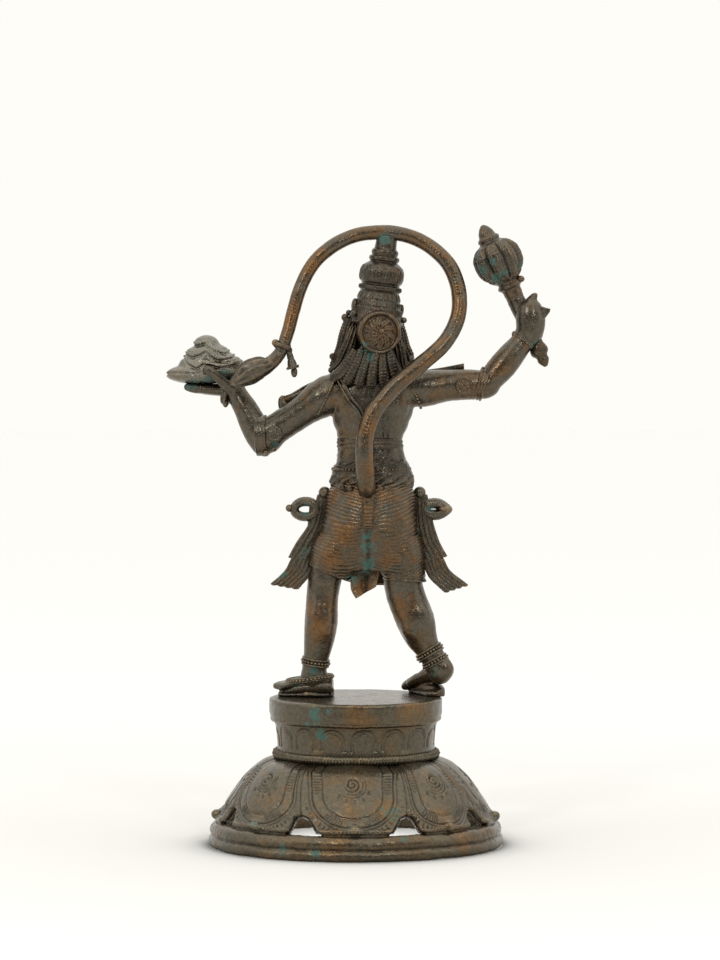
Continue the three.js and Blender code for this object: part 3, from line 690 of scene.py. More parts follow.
def strand(points, size, count):
    """Beads strung along a curve."""
    return [ball(p, size, *BEAD) for p in curve(points, np.linspace(0, 1, count))]


# Pedestal, in millimetres

# Heights of the foot ring and of the petals, then radii and walls, as in the solids
FOOT, PETALS = 12.5, 33
FOOT_RADIUS, FOOT_STEP, ROPE_RADIUS, ROPE_ROLL = 76.2, 3.6, 43.4, 1.8
BAND_RADIUS, BAND_FLARE, SLAB_RADIUS = 40.6, 1.2, 44.7
FOOT_WALL, DOME_WALL = 6, 4.4
# Angles in degrees of the seams between the petals, at the foot and at the head
SEAM_FEET = [21, 60.5, 107, 153.5, 200.5, 247, 293.5, 338.5, 381]
SEAM_HEADS = [28, 64, 109, 153.5, 198.5, 238, 279, 327, 388]
# The petals' outline as shares of reach and height, and half the gap between two petals by height
DOME = [(0, 1), (0.25, 0.91), (0.5, 0.71), (0.7, 0.47), (0.89, 0.2), (1, 0.06), (1, -0.03)]
TENT = ([0, 4.6, 9, 10.2], [9, 6.2, 3.1, -0.5])
# A petal's length and width, and the spacing of its points where the photograph shows it and elsewhere
PETAL_LONG, PETAL_WIDE, SEEN_STEP, HIDDEN_STEP = 46, 54, 0.45, 0.86
SEEN_PETALS = (0, 6, 7)


def petal(k):
    """One swelling petal from under the rope down to the foot ring."""
    step = SEEN_STEP if k in SEEN_PETALS else HIDDEN_STEP
    rows = int(PETAL_LONG / step)
    columns = int(PETAL_WIDE / step / 4) * 4 + 1
    t = np.linspace(0, 1, rows)
    share = curve([(a, b, 0) for a, b in DOME], t)
    top = ROPE_RADIUS - ROPE_ROLL
    reach = FOOT_RADIUS - FOOT_STEP - ROPE_RADIUS + ROPE_ROLL
    r = (top + reach * share[:, 0])[:, None]
    z = (FOOT + PETALS * share[:, 1])[:, None]
    normal = np.stack([-np.gradient(z[:, 0]), np.gradient(r[:, 0])], -1)
    normal /= np.linalg.norm(normal, axis=1)[:, None]
    up = np.clip((z - FOOT) / PETALS, 0, 1)
    first = SEAM_FEET[k] + (SEAM_HEADS[k] - SEAM_FEET[k]) * up
    last = SEAM_FEET[k + 1] + (SEAM_HEADS[k + 1] - SEAM_FEET[k + 1]) * up
    half = np.radians(last - first) / 2 * r - np.interp(z - FOOT, *TENT)
    middle = np.radians((first + last) / 2 + 90)

    def sheet(count, inner):
        x = np.linspace(-1, 1, count)[None, :] * half
        edge = half - np.abs(x)
        relief = -DOME_WALL + 0 * x if inner else petal_carving(x, z - FOOT, edge)
        radius = r + relief * normal[:, :1]
        angle = middle + x / r
        height = z + relief * normal[:, 1:]
        return np.stack([radius * np.cos(angle), radius * np.sin(angle), height], -1), relief

    outer, relief = sheet(columns, False)
    inner, depth = sheet((columns - 1) // 4 + 1, True)
    points = np.concatenate([outer, inner[:, ::-1]], axis=1)
    return points, np.concatenate([relief, 0 * depth], axis=1), ("slab", columns)


def u_shape(x, h, half, bottom, shoulder):
    """1 on a U-shaped line with straight sides at half and its foot at bottom, less inside it."""
    drop = np.maximum(shoulder - h, 0) / (shoulder - bottom)
    return (np.abs(x / half) ** 2.1 + drop**2.1) ** 0.476


def petal_carving(x, h, edge):
    """Chasing on a petal: x across, h above the foot ring and edge the distance from the petal's edge."""
    wide = np.minimum(edge + np.abs(x) + np.interp(h, *TENT) + 0.4, 26)
    roll = -(0.9 + 1.3 * (1 - smooth(h, 8, 13))) * (1 - np.clip(edge / 2.4, 0, 1)) ** 2
    outer = u_shape(x, h, 0.82 * wide, 4.4, 19)
    inner = u_shape(x, h, 0.6 * wide, 8.2, 20)
    lines = -0.7 * ridge((outer - 1) * 20, 0.46) - 0.64 * ridge((inner - 1) * 15, 0.44)
    lines = lines - 0.5 * ridge((outer - 1.09) * 20, 0.4)
    around = np.arctan2(h - 19, x)
    rungs = (0.5 + 0.5 * np.cos(TAU * np.where(h > 19, h / 1.3, around * 18 / 1.6))) ** 2
    grouped = between(h, 20, 29, 0.6)
    for centre in (0.85, 2.29):
        grouped = np.maximum(grouped, between(np.abs(around + centre), -0.5, 0.36, 0.08) * (h < 15))
    ladder = -0.72 * rungs * grouped * (inner > 1.05) * (outer < 0.95)
    dashes = (0.5 + 0.5 * np.cos(around * 26 * TAU / 2.6)) ** 3
    border = -0.5 * dashes * between(outer, 1.12, 1.3, 0.05) * (h < 14)
    cx, ch = x, (h - 24.6) * 1.15
    d = np.hypot(cx, ch)
    turn = np.arctan2(ch, cx)
    spiral = np.abs(np.mod(d + 1.1 * turn / math.pi, 2.2) - 1.1)
    curl = -0.84 * (1 - smooth(spiral, 0.28, 0.55)) * (1 - smooth(d, 3.9, 4.5))
    arcs = -0.78 * (ridge(d - 5.6, 0.4) + ridge(d - 7.1, 0.36)) * between(turn, -2.5, 0.5, 0.3)
    spokes = (0.5 + 0.5 * np.cos(13 * turn)) ** 4
    rays = -0.7 * spokes * between(d, 8, 10.6, 0.5) * between(turn, -2.7, -0.3, 0.2)
    crest = 0.9 * np.exp(-((x / 12) ** 2)) * smooth(h, 0, 12) - 0.2
    tip = 2.1 * np.exp(-((x / 3) ** 2) - ((h - 2.9) / 2.4) ** 2)
    foot = 0.7 * between(h, 0.4, 4.4, 1.8) - 0.3
    chased = lines + ladder + border + curl + arcs + rays
    return roll + crest + tip + foot + smooth(edge, 0.6, 1.4) * chased


def foot_carving(a, r, z):
    """Faint chased arcs and eyes round the foot ring."""
    outside = smooth(r, 73.5, 75) * (1 - smooth(z, 11, 12.2)) * smooth(z, 1, 2)
    x = np.mod(a * FOOT_RADIUS, 20.0) - 10
    d = np.hypot(x * 0.55, z - 9)
    eyes = -0.22 * ridge(d - 1.5, 0.28) * (z > 5.8)
    swags = -0.2 * ridge(np.hypot(x, z - 14) - 8.6, 0.35)
    groove = -0.4 * ridge(z - 5.7, 0.5)
    return outside * (eyes + swags + groove)


ARCHES = 16


def drum_carving(a, r, z):
    """Sixteen double arches round the drum, under a plain rim."""
    outside = smooth(r, BAND_RADIUS - 0.6, BAND_RADIUS - 0.2) * between(z, 50.4, 64, 0.5)
    cell = TAU * BAND_RADIUS / ARCHES
    x = np.mod(a * BAND_RADIUS + 4, cell) - cell / 2
    d = np.hypot(x, np.maximum(z - 56, 0))
    arches = -0.56 * ridge(d - 6.5, 0.4) - 0.46 * ridge(d - 5.1, 0.36) - 0.14 * smooth(d, 4.6, 5)
    return outside * arches * between(z, 51.4, 63.4, 0.7)


foot_profile = [
    (FOOT_RADIUS - FOOT_WALL, FOOT - 0.2), (FOOT_RADIUS - FOOT_WALL, 0.3), (FOOT_RADIUS - 5.4, 0),
    (75.2, 0), (75.9, 0.3), (FOOT_RADIUS, 1), (FOOT_RADIUS, 3.3), (75.9, 4.2), (75, 5.2), (74.8, 5.7),
    (75.1, 6.3), (75.5, 7.4), (75.4, 8.6), (75, 10), (74.2, 11.2), (73.2, 12), (72, FOOT),
    (FOOT_RADIUS - 5.2, FOOT),
]
foot_ring = turned(foot_profile, 46, 460, foot_carving)
# The two petals whose knobs are worn down, by their number
WORN_KNOBS = {6: (1.6, 1.6, 2.2), 7: (0.8, 0.8, 1.6)}
pedestal_piece("lotus_foot_ring", [(*foot_ring, "ring")], uneven=0.42, warm=0.15)
for k in range(8):
    knob_angle = math.radians((SEAM_FEET[k] + SEAM_FEET[k + 1]) / 2 + 90)
    out = np.array([math.cos(knob_angle), math.sin(knob_angle), 0])
    place = out * (FOOT_RADIUS - FOOT_STEP - 0.7) + UP * (FOOT + 2.9)
    knob = ball(place, WORN_KNOBS.get(k, (3, 3, 2.6)), 10, 20)
    pedestal_piece("lotus_petal_%d" % (k + 1), [petal(k), knob], uneven=0.22, warm=0.12)

ROPE_STRANDS, ROPE_MIDDLE = 160, ROPE_RADIUS - 2.6


def rope_carving(t, s):
    """Slanting strands, with a groove along the rope."""
    return 0.34 * np.cos(ROPE_STRANDS * t + 3.2 * s) - 0.2 * ridge(np.mod(s + 0.9, TAU) - 0.5, 0.14)


rope_ring = hoop((0, 0, FOOT + PETALS + 1.9), UP, ROPE_MIDDLE, ROPE_MIDDLE, 2.4, 960, 10, rope_carving)
drum_outline = [
    (0.05, 71.9), (BAND_RADIUS - DOME_WALL, 71.9), (BAND_RADIUS - DOME_WALL, 44.5), (41.2, 44.5),
    (41.4, 46), (BAND_RADIUS, 51), (BAND_RADIUS, 53), (BAND_RADIUS + 0.5, 58),
    (BAND_RADIUS + BAND_FLARE, 61.5), (BAND_RADIUS + 1.8, 64), (42.7, 64.3), (43.9, 64.6), (44.4, 65.4),
    (44.2, 66.6), (44.4, 67.4), (SLAB_RADIUS, 68.4), (SLAB_RADIUS, 75), (44.4, 75.7), (43.6, 76.2),
    (42.4, 76.4), (0.05, 76.4),
]


def spaced(outline):
    """The outline with points half a millimetre apart over the arches and further apart elsewhere."""
    out = [outline[0]]
    for (r0, z0), (r1, z1) in zip(outline, outline[1:]):
        arched = r0 > BAND_RADIUS - 1 and 50 < z0 < 64 and z1 < 64.1 and r1 < 43
        fine = 0.5 if arched else 1.1 if r0 > 41 else 2.6
        count = max(1, math.ceil(math.hypot(r1 - r0, z1 - z0) / fine))
        out += [(r0 + (r1 - r0) * n / count, z0 + (z1 - z0) * n / count) for n in range(1, count + 1)]
    return out


drum = turned(spaced(drum_outline), None, 400, drum_carving)
pedestal_piece("lotus_drum", [drum, rope_ring], uneven=0.22, warm=0.12)

# Body: torso, limbs, hands and feet in one casting

body = Clay((-106, -34, -0.8), (102, 32, 212), BODY_CELL)
body.limb([
    (-8.5, 1, 96, 19, 13), (-8.5, 0.5, 109, 19, 12.6), (-8, 0, 118, 18.4, 12.4),
    (-7.4, 0, 128.4, 16.6, 11.6), (-7.2, 0, 131.4, 15.8, 11), (-8, 0, 149, 21.4, 12.4),
    (-8.8, -0.4, 160.4, 22.3, 11.8), (-8.8, -0.6, 165, 16, 12), (-8.8, 0, 168.4, 10.8, 9),
    (-8.6, 0, 182, 6.8, 6.8),
], 2)
for side in (1, -1):
    body.lump((-8.6 + 9 * side, -8.2, 151), (8.4, 4.4, 7), melt=3)
    body.lump((-8.4 + 10.5 * side, 7.2, 152.4), (7.6, 4.2, 9), rotation(y=14 * side), melt=3)
body.lump((-7.8, -7.4, 129), (11.4, 5.6, 11), melt=3)
body.limb([(-8.2, 13.6, 124, 1, 1), (-8.4, 13.4, 140, 1.2, 1), (-8.6, 12.8, 156, 1, 1)], 1.6, take=True)
body.limb([
    (15.6, 0, 66, 9, 9.2), (17.4, 0.3, 51, 8.2, 8.5), (18, 0.9, 39, 8.6, 8.8), (19.4, 0.4, 28, 7.5, 7.5),
    (20.6, -0.2, 20.6, 6.4, 6.5), (21.5, -0.8, 15, 6.3, 6.3), (22, -1, 7.6, 6.2, 5.8),
], 2)
body.limb([
    (-23.2, 0, 66, 9.8, 10.2), (-25.6, -0.5, 53, 10, 9.8), (-30.6, -1, 40, 9.9, 9.7),
    (-33.6, -1, 31.5, 8.3, 8.3), (-36.8, -0.8, 25.6, 6.7, 6.9), (-39.8, -0.2, 20.6, 6.5, 6.7),
    (-43.6, 0.8, 12.4, 6, 5.8),
], 2)
body.lump((17, -6.6, 52), (5.6, 3.6, 5.4), melt=2.4).lump((-24.8, -7, 53), (6, 3.8, 6), melt=2.4)
body.lump((18.3, 5.6, 40), (5.6, 4, 9.6), melt=3).lump(
    (-30.8, 5, 39.4), (6.2, 4.4, 9.4), rotation(y=-22), melt=3,
)
body.lump((-46.6, 1.2, 14), (4, 4.4, 4.2), melt=1.2)


def back_folds(p):
    """Upright folds in the cloth beside the tail."""
    x, y, z = p[..., 0], p[..., 1], p[..., 2]
    sway = x + 0.5 * np.sin(z / 2.6) + 0.06 * (z - 136)
    lines = ridge(sway + 13.2, 0.55) + ridge(sway + 15.8, 0.5) + 0.7 * ridge(sway + 18.4, 0.5)
    return -0.75 * lines * between(z, 125, 150, 5) * (y > 4)


body.press((-24, 3, 122), (-8, 18, 152), back_folds)


def standing(place, turn, length, half, side, heel=0.29):
    """A foot with five toes, heel at the place and its big toe towards local +Y when side is 1."""
    def at(along, across, high):
        local = np.array([length * along, half * across * side, length * high])
        return tuple(np.asarray(place) + turn @ local)
    rise = [
        (0.05, 0.46, heel), (0.2, 0.62, min(0.28, heel + 0.04)), (0.36, 0.64, 0.25), (0.54, 0.78, 0.2),
        (0.7, 0.92, 0.165), (0.8, 0.8, 0.12),
    ]
    tilted = turn @ UP
    body.limb([(*at(a, 0.05, h / 2), half * w, length * h / 2) for a, w, h in rise], 1.2, tilted)
    body.lump(at(0.1, 0, 0.12), (length * 0.13, half * 0.6, length * 0.12), turn, 2)
    toes = [
        (0.62, 0.98, 0.31), (0.26, 0.97, 0.2), (-0.06, 0.93, 0.19), (-0.37, 0.88, 0.18),
        (-0.68, 0.82, 0.18),
    ]
    for across, reach, size in toes:
        width = half * size
        body.limb([
            (*at(0.62, across * 0.94, 0.1), width, length * 0.07),
            (*at(reach - 0.12, across, 0.075), width, length * 0.06),
            (*at(reach - 0.03, across, 0.06), width * 0.95, length * 0.052),
        ], 0.5, tilted)


standing((13, -1.4, 4.6), rotation(y=3, z=-7), 31, 8.2, -1, 0.13)
standing((-48, 6, 11.2), rotation(y=16, z=-60), 39, 7.7, 1)
body.lump((25, -3.4, 3.4), (14, 6.6, 4.6), rotation(z=-9), melt=0.8)
body.lump((-38.6, -13, 3), (14.4, 5.6, 4.4), rotation(z=-66), melt=0.8)
body.limb([(14, -1, 1, 6.4, 2.4), (27, -4, 1, 8, 2.2), (38.6, -5, 1, 6.4, 2)], 0.8, UP)
body.limb([(-41.2, -1, 1, 5.4, 2.6), (-37, -14, 1, 5.6, 2.6), (-32.4, -26.6, 1, 5.4, 2)], 0.8, UP)

ARM_LEFT = [
    (0, 0, 160, 9, 9.4), (14, 0, 156.4, 10.4, 10), (27, -0.6, 148.4, 8.1, 8.2),
    (41.4, -2.1, 138.8, 7.9, 7.6), (46.6, -2.8, 135.2, 9.4, 8.2), (49, -3, 133.4, 6.6, 6.4),
]
FOREARM_LEFT = [
    (46.8, -3, 126.2, 1.8, 2.4), (48.4, -3.2, 131, 6, 6.4), (50.4, -3.7, 135.4, 6.8, 6.8),
    (53, -4.3, 141, 6.9, 6.7), (57, -5.6, 149, 6.1, 6), (60.4, -6.8, 154.6, 5.4, 5.4),
    (63.4, -8, 159, 4.8, 4.8),
]
ARM_RIGHT = [
    (-18, 0, 160, 9.6, 9.6), (-34, 0, 159.8, 9.6, 9.6), (-47, -0.6, 161.2, 8.2, 8.3),
    (-59.6, -1.4, 161.8, 7.8, 7.8), (-66, -2, 161.8, 7, 7.1), (-69, -2.3, 161.2, 5.4, 5.8),
]
FOREARM_RIGHT = [
    (-66.6, -2, 159.2, 4.6, 5), (-69.4, -2.4, 164, 6.4, 6.6), (-76, -3.2, 171.6, 7.2, 7),
    (-80.8, -4.1, 177.4, 6.7, 6.6), (-84.6, -4.7, 182, 5.9, 5.9), (-88.4, -5.6, 188, 5.4, 5.2),
]
for arm in (ARM_LEFT, FOREARM_LEFT, ARM_RIGHT, FOREARM_RIGHT):
    body.limb(arm, 1.6)


def hand_curl(p):
    """A chased curl on the back of the hand."""
    x, z = p[..., 0] + 91.4, p[..., 2] - 193.6
    reach = np.hypot(x, z)
    arm = np.abs(np.mod(reach + 0.5 * np.arctan2(z, x), 2.1) - 1.05)
    return -0.3 * (1 - smooth(arm, 0.1, 0.5)) * (1 - smooth(reach, 3.6, 4.6)) * (p[..., 1] > -5)


body.limb([
    (62, -8, 159.2, 4.6, 4.2), (68, -9.6, 158.8, 6, 3.4), (75, -11.4, 158.8, 7.4, 2.9),
    (80, -12, 159.2, 7, 2.5),
], 1, UP)
for i, y in enumerate((-17, -13.6, -10.2, -6.8)):
    body.limb([
        (72, y, 158.8, 2.6), (78, y, 159.1 + 0.1 * i, 2.5), (84, y, 159.4 + 0.1 * i, 2.4),
        (87.2, y, 160 + 0.1 * i, 2),
    ], 0.4)
body.limb([
    (64.4, -4.6, 158.6, 3.4), (67.6, -2, 162, 2.9), (71, 0.4, 165.2, 2.6), (75, 1.6, 168.6, 2.4),
    (77, 1.6, 169.6, 2.1),
], 0.7)

body.limb([
    (-88, -5.6, 184.6, 5.4, 5), (-89.8, -5.2, 189, 7, 6.4), (-90.4, -5, 195.4, 7.6, 6.4),
    (-89.8, -5.2, 201, 6.2, 5.2),
], 1.2)
for i in range(4):
    x, z = -87.4 - 0.5 * i, 187 + 3.5 * i
    body.limb([
        (x + 1, -11, z - 1, 1.9), (x - 4.4, -12.4, z - 0.6, 2), (x - 7.4, -8.4, z, 2),
        (x - 7, -4.4, z + 0.4, 1.8),
    ], 0.35, UP)
body.limb([(-88, -5, 199, 3.2), (-89.6, -5, 203.4, 2.8), (-92.6, -5, 207.8, 1.6)], 0.8)
body.press((-102, -8, 184), (-84, 6, 204), hand_curl)
plate = fan(
    [(-89, -2.4, 203.6), (-95, -3, 202.4), (-100.6, -4, 201)],
    [(-92, -3, 186), (-96, -3.6, 193.4), (-100.2, -4, 199.2)], 60, 40, 3,
    lambda u, v: 0.2 * np.cos(TAU * 3 * v) * (1 - u),
)
sole = tube([
    (12.2, -1.2, 4.6, 6, 4.4), (20, -2, 4.9, 6.8, 4.7), (30, -3.4, 4, 7, 3.8), (36, -4.4, 2.8, 5, 2.6),
], 60, 48, UP)
figure_piece("figure_body", [body, plate, sole], warm=0.06)

# The short garment, in crosswise folds that hang from the hips


def folded(s, a, p):
    """Fold lines that fall towards the cleft higher up and hang in swags lower down, with short strokes."""
    x, z = p[..., 0] + 6.4, p[..., 2]
    wander = (0.9 + 0.7 * (1 - smooth(z, 66, 84))) * noise(p, 11, 5) + 0.4 * noise(p, 4, 6)
    falling = 0.3 * np.abs(x)
    hanging = 0.02 * (np.abs(x) - 12) ** 2
    share = smooth(z, 84, 100)
    level = z - share * falling - (1 - share) * hanging + wander
    lines = 0.5 + 0.5 * np.cos(TAU * level / 1.75)
    depth = (0.46 + 0.2 * noise(p, 9, 8) + 0.14 * share) * (0.55 + 0.45 * smooth(z, 60, 76))
    depth = depth * (1 - 0.85 * ridge(x, 3) * (1 - smooth(z, 86, 92)) * (p[..., 1] > 0))
    strokes = 0.09 * np.cos(TAU * (x + 0.5 * z + wander) / 1.15) * (1 - smooth(z, 80, 88)) * (0.4 + lines)
    cleft = -1.4 * ridge(x, 2.2) * (1 - smooth(z, 88, 100)) * (p[..., 1] > 0)
    return depth * (lines**0.8 - 0.5) + strokes + cleft


HIPS = [
    (-8.5, 0.8, 110, 20, 13.4), (-8.3, 1.6, 105, 23.2, 16), (-7.6, 2.6, 96, 24.1, 17.7),
    (-6.9, 2.8, 87, 24.9, 17.9), (-6.4, 2, 78, 26, 16.7), (-5.8, 0.6, 68, 25, 13.7),
]
LEG_LEFT = [
    (6, 0.8, 82, 13.8, 15.2), (9.6, 0.6, 74, 14.8, 14.8), (13.4, 0, 66, 12.4, 12.8),
    (15.2, 0, 59.8, 11.8, 12.2),
]
LEG_RIGHT = [
    (-20.4, 0.8, 82, 13.2, 15.2), (-22.6, 0.6, 74, 13.4, 14.4), (-24.4, 0, 66, 11.6, 12.4),
    (-25.4, -0.2, 59.8, 10.8, 11.8),
]
# How far a raised part of the hem moves in, as a share of its lift
HEM_PULL = 0.19
shorts = [tube(HIPS, 100, 170, carve=folded)]
# Each leg of the garment with its columns and the slope of its hem, which rises outwards on the left leg
for stations, columns, slope in ((LEG_LEFT, 110, 0.42), (LEG_RIGHT, 106, 0.06)):
    x, y, z, a, b = stations[-1]
    leg, relief = tube(stations, 52, columns, carve=folded)
    lift = np.maximum(z + slope * (leg[..., 0] - x + a) - leg[..., 2], 0)
    leg[..., 2] += lift
    leg[..., 0] -= HEM_PULL * lift
    shorts.append((leg, relief))
    narrower = HEM_PULL * slope * a
    middle = (x - narrower, y, z + 0.6 + slope * a)
    wide = (a - 0.3 - narrower) * math.hypot(1, slope)
    rim = hoop(middle, (-slope, 0, 1), wide, b - 0.3, 0.6, 140, 8, lambda t, s: 0.12 * np.cos(70 * t))
    shorts.append(rim)
figure_piece("figure_garment", shorts, warm=0.4, dim=0.1)

# Tail

TAIL = [
    (-6, 12, 104, 4.2), (-5.2, 20.6, 112, 4.7), (-4.4, 24.4, 124, 4.6), (-4.8, 24, 136, 4.5),
    (-8.6, 22.6, 147.4, 4.4), (-18.6, 21.4, 160, 4.3), (-33, 19, 172.3, 4.2), (-46.2, 14, 184.6, 4.1),
    (-52.4, 9.6, 197, 4), (-53, 6.4, 209.6, 4), (-48.6, 3.6, 222.4, 3.9), (-40, 1.6, 231.6, 3.8),
    (-28, 0.4, 238.2, 3.8), (-14.7, 0, 240.3, 3.8), (-1, 0.6, 239, 3.7), (11.4, 2, 233.6, 3.7),
    (21.6, 3.6, 224.6, 3.6), (28.2, 5.6, 212.6, 3.5), (32.2, 7.4, 199.6, 3.4), (35.2, 9.6, 188.4, 3.3),
    (39.4, 12, 177.8, 3.3), (44.6, 13, 172.4, 3.7), (49.6, 13.8, 170.8, 5.6), (54.6, 14, 168.4, 6.2),
    (59.6, 13.6, 165.2, 4.4), (64.6, 13, 162.6, 0.7),
]


def tail_carving(s, a, p):
    """Punched ticks along the tail's outer side, and the tuft's grooves."""
    tuft = smooth(p[..., 0], 40.5, 46) * (1 - smooth(p[..., 2], 178, 184))
    round_back = np.cos(a - math.pi / 2)
    tick = np.abs(np.mod(s + 1.5 * np.cos(a), 1.8) - 0.9)
    outer_side = between(np.cos(a - math.pi / 2 + 0.5), 0.7, 1.4, 0.15)
    group = between(np.mod(s + 8, 23.0), 0, 10, 0.8) * outer_side
    dents = -0.2 * ridge(np.mod(s + 3, 37.0) - 20, 1.4) * between(round_back, 0.2, 2, 0.4)
    ticks = -0.46 * ridge(tick, 0.36) * group + dents
    grooves = 0.4 - 1.5 * ridge(np.cos(4.5 * a + 0.6 * np.sin(s / 6)), 0.34)
    return (1 - tuft) * ticks + tuft * grooves


bell_axis = unit((0.35, 0.2, -0.92))
bell = tube([
    (35.2, 11, 182.6, 1.6), (34.6, 11, 179.6, 1.7), (33.8, 11, 176.4, 1.7), (33, 11, 173, 2.3),
    (32.4, 11, 170.2, 3.4),
], 40, 24, carve=lambda s, a, p: -0.3 * ridge(np.mod(s, 3.1) - 1.55, 0.3))
figure_piece("figure_tail", [
    tube(TAIL, 680, 28, carve=tail_carving),
    hoop((37.6, 10.8, 181.2), bell_axis, 3.8, 3.8, 1.3, 80, 10, lambda t, s: 0.16 * np.cos(22 * t + 2 * s)),
    ball((41.4, 11.4, 183.6), 1.9, *KNOB), bell, ball((31.8, 11, 168.4), (1.7, 1.7, 2.8), *KNOB),
    hoop((32.6, 11, 171), (-0.3, 0, -1), 3, 3, 0.5, 40, 8),
], warm=0.36, uneven=0.12)

# Belts and the cloth wound between them


def waist_carving(s, a, p):
    """From the hips up: scroll row, bead groove, swirled cloth and a ridged band."""
    z = p[..., 2]
    scroll = 0.5 * np.cos(16 * a + 1.4 * (z - 112)) * between(z, 108.6, 115.8, 1.2)
    scroll = scroll + 0.7 * (np.abs(noise(p, 2.6, 31)) - 0.3) * between(z, 107.6, 117, 1)
    creased = 0.8 - 2.2 * np.abs(noise(p + 1.2 * noise(p, 5, 33)[..., None], 4.2, 32)) ** 0.8
    cloth = 0.62 * creased * between(z, 119.8, 130, 1.6)
    cloth = cloth + 0.14 * np.cos(14 * a + 2.2 * z) * between(z, 119.6, 128.2, 1.2)
    ribs = 0.5 + 0.24 * np.cos(TAU * (z - 128 + 0.5 * noise(p, 6, 34)) / 2.1)
    band = ribs * between(z, 128.6, 134.8, 1.2)
    strokes = 0.1 * np.cos(88 * a) * between(z, 128.6, 134.4, 0.6)
    return scroll + cloth + band + strokes


WAIST = [
    (-8.5, 0.5, 107, 21, 13.8), (-8.3, 0.4, 112, 21.6, 14.6), (-8, 0.2, 116, 20.8, 14),
    (-7.8, 0.1, 119.6, 19.6, 13.4), (-7.6, 0, 124, 17.4, 12.2), (-7.4, 0, 128.4, 16.6, 11.7),
    (-7.1, 0, 134, 16.3, 11.4), (-7.2, 0, 136, 15.6, 10.9),
]
belt = [tube(WAIST, 84, 200, carve=waist_carving)]
belt += beads((-7.9, 0.2, 118.2), UP, 19.7, 13.4, 1.1, 58)
belt += [hoop((-7.9, 0.2, z), UP, r, r - 6.4, 0.4, 150, 8) for z, r in ((116.6, 20.2), (119.8, 19.3))]
belt += [
    ball((x, 15.2, z), (1.9, 1.3, 1.8), *KNOB)
    for x, z in ((-11.6, 109.4), (-15.6, 108.8), (3, 109), (7.4, 109.6))
]
figure_piece("figure_belt", belt, dim=0.45, uneven=0.1)

# Sashes


def pleats(count, amount):
    """Lengthwise folds that fade in from the top, with a finer line on each."""
    def fold(u, v):
        sway = u + 0.03 * np.sin(5 * v + 2)
        fine = 0.14 * np.cos(TAU * 3 * count * sway + 1.2 + 2 * v)
        wave = np.cos(TAU * count * sway) * 0.4 * amount + fine
        return wave * smooth(v, 0, 0.16)
    return fold


def bow(centre, a, b, axis, thick=2.3, point=0.0):
    """A flat loop of cloth standing out from its knot, its far end pointed at the angle named."""
    def carve(t, s):
        return 0.22 * np.cos(7 * s) + 0.1 * np.cos(30 * t) + (1.5 * ridge(t - point, 0.4) if point else 0)
    return hoop(centre, axis, a, b, thick, 90, 20, carve, up=UP)


def sash(outer, inner, rows, columns, thick, folds, waves=4, scallop=0.012):
    """A pleated end of cloth with a scalloped hem."""
    return fan(outer, inner, rows, columns, thick, pleats(folds, 0.4), waves=waves, scallop=scallop)


sash_left = [
    sash(
        [(20, 1, 105), (24, 1.4, 90.6), (31, 2, 80), (35.2, 2.6, 72.2)],
        [(12, 1, 105), (13, 1, 90), (16, 1.6, 80), (20, 2, 71)], 70, 54, 3.2, 5,
    ),
    sash(
        [(27, 1.6, 78), (33.4, 2.6, 72), (36.6, 3, 66), (44.6, 3.4, 58.4)],
        [(16, 1, 78), (20, 1.8, 70), (23, 2.2, 64), (30, 2.6, 55.6)], 60, 56, 3, 6, scallop=0.02,
    ),
    sash(
        [(24, -0.6, 100), (25, -0.8, 84), (22, -0.6, 70), (20.5, -0.4, 60)],
        [(13, -0.6, 100), (12, -0.8, 84), (12, -0.6, 70), (14.5, -0.4, 61)], 50, 30, 2.4, 4, 2, 0.015,
    ),
    ball((16.2, 1, 106), (3.2, 3.4, 3.2), 12, 20), bow((26, 1, 97.4), 5.6, 3.9, BACK),
    ball((34.4, 1, 98), 2, *KNOB),
]
sash_right = [
    sash(
        [(-37, 1, 105), (-40, 1.2, 90.6), (-43.6, 1.8, 80), (-47.4, 2.4, 73)],
        [(-29, 1, 105), (-29, 1, 90), (-31.4, 1.4, 79), (-35, 1.8, 70)], 70, 52, 3.2, 5,
    ),
    sash(
        [(-42, 1.4, 78), (-45.4, 2.2, 72), (-48.6, 2.8, 66), (-58.6, 3.4, 58)],
        [(-31, 1, 78), (-34.6, 1.6, 69), (-38, 2, 62), (-46, 2.6, 54)], 60, 56, 3, 6, scallop=0.02,
    ),
    ball((-33, 1, 106), (3.2, 3.4, 3.2), 12, 20),
    bow((-40.6, 1, 97.4), 5, 2.9, (0.2, 1, 0.1), 2.7, math.pi),
]


def hollowed(u, v):
    """A trough along the cloth."""
    return 1.4 * np.cos(TAU * u) * smooth(v, 0.15, 0.6)


def banded(u, v):
    """Short cross folds between two edge lines."""
    across = np.abs(2 * u - 1)
    return 0.24 * np.cos(TAU * 12 * v) * (across < 0.6) - 0.3 * ridge(across - 0.68, 0.1)


tongue = [
    fan(
        [(2.6, 3, 78), (2.6, 5, 66), (2.4, 6.4, 56), (0, 7, 51.6)],
        [(-12, 3, 78), (-12.4, 4.6, 69), (-12, 5.6, 63), (-10.4, 6.4, 57.6)], 50, 34, 3.6, hollowed,
    ),
    fan(
        [(-2.6, 18.6, 106), (-2.9, 20, 97), (-3.6, 20.2, 90), (-5, 19, 85)],
        [(-10.6, 18.4, 106), (-9.9, 19.8, 97), (-8.8, 20, 90), (-7.4, 19, 85)], 110, 28, 1.6, banded,
    ),
    fan(
        [(-1.6, -12, 113), (-0.6, -18.4, 98), (0.6, -19, 78), (2.4, -15.4, 57)],
        [(-15, -12, 113), (-15.8, -18.4, 98), (-16.8, -19, 78), (-18.4, -15.4, 57)], 60, 48, 3,
        pleats(5, 0.7), facing=-BACK,
    ),
]
figure_piece("figure_sash_left", sash_left)
figure_piece("figure_sash_right", sash_right)
figure_piece("figure_apron", tongue, warm=0.4, dim=0.15)

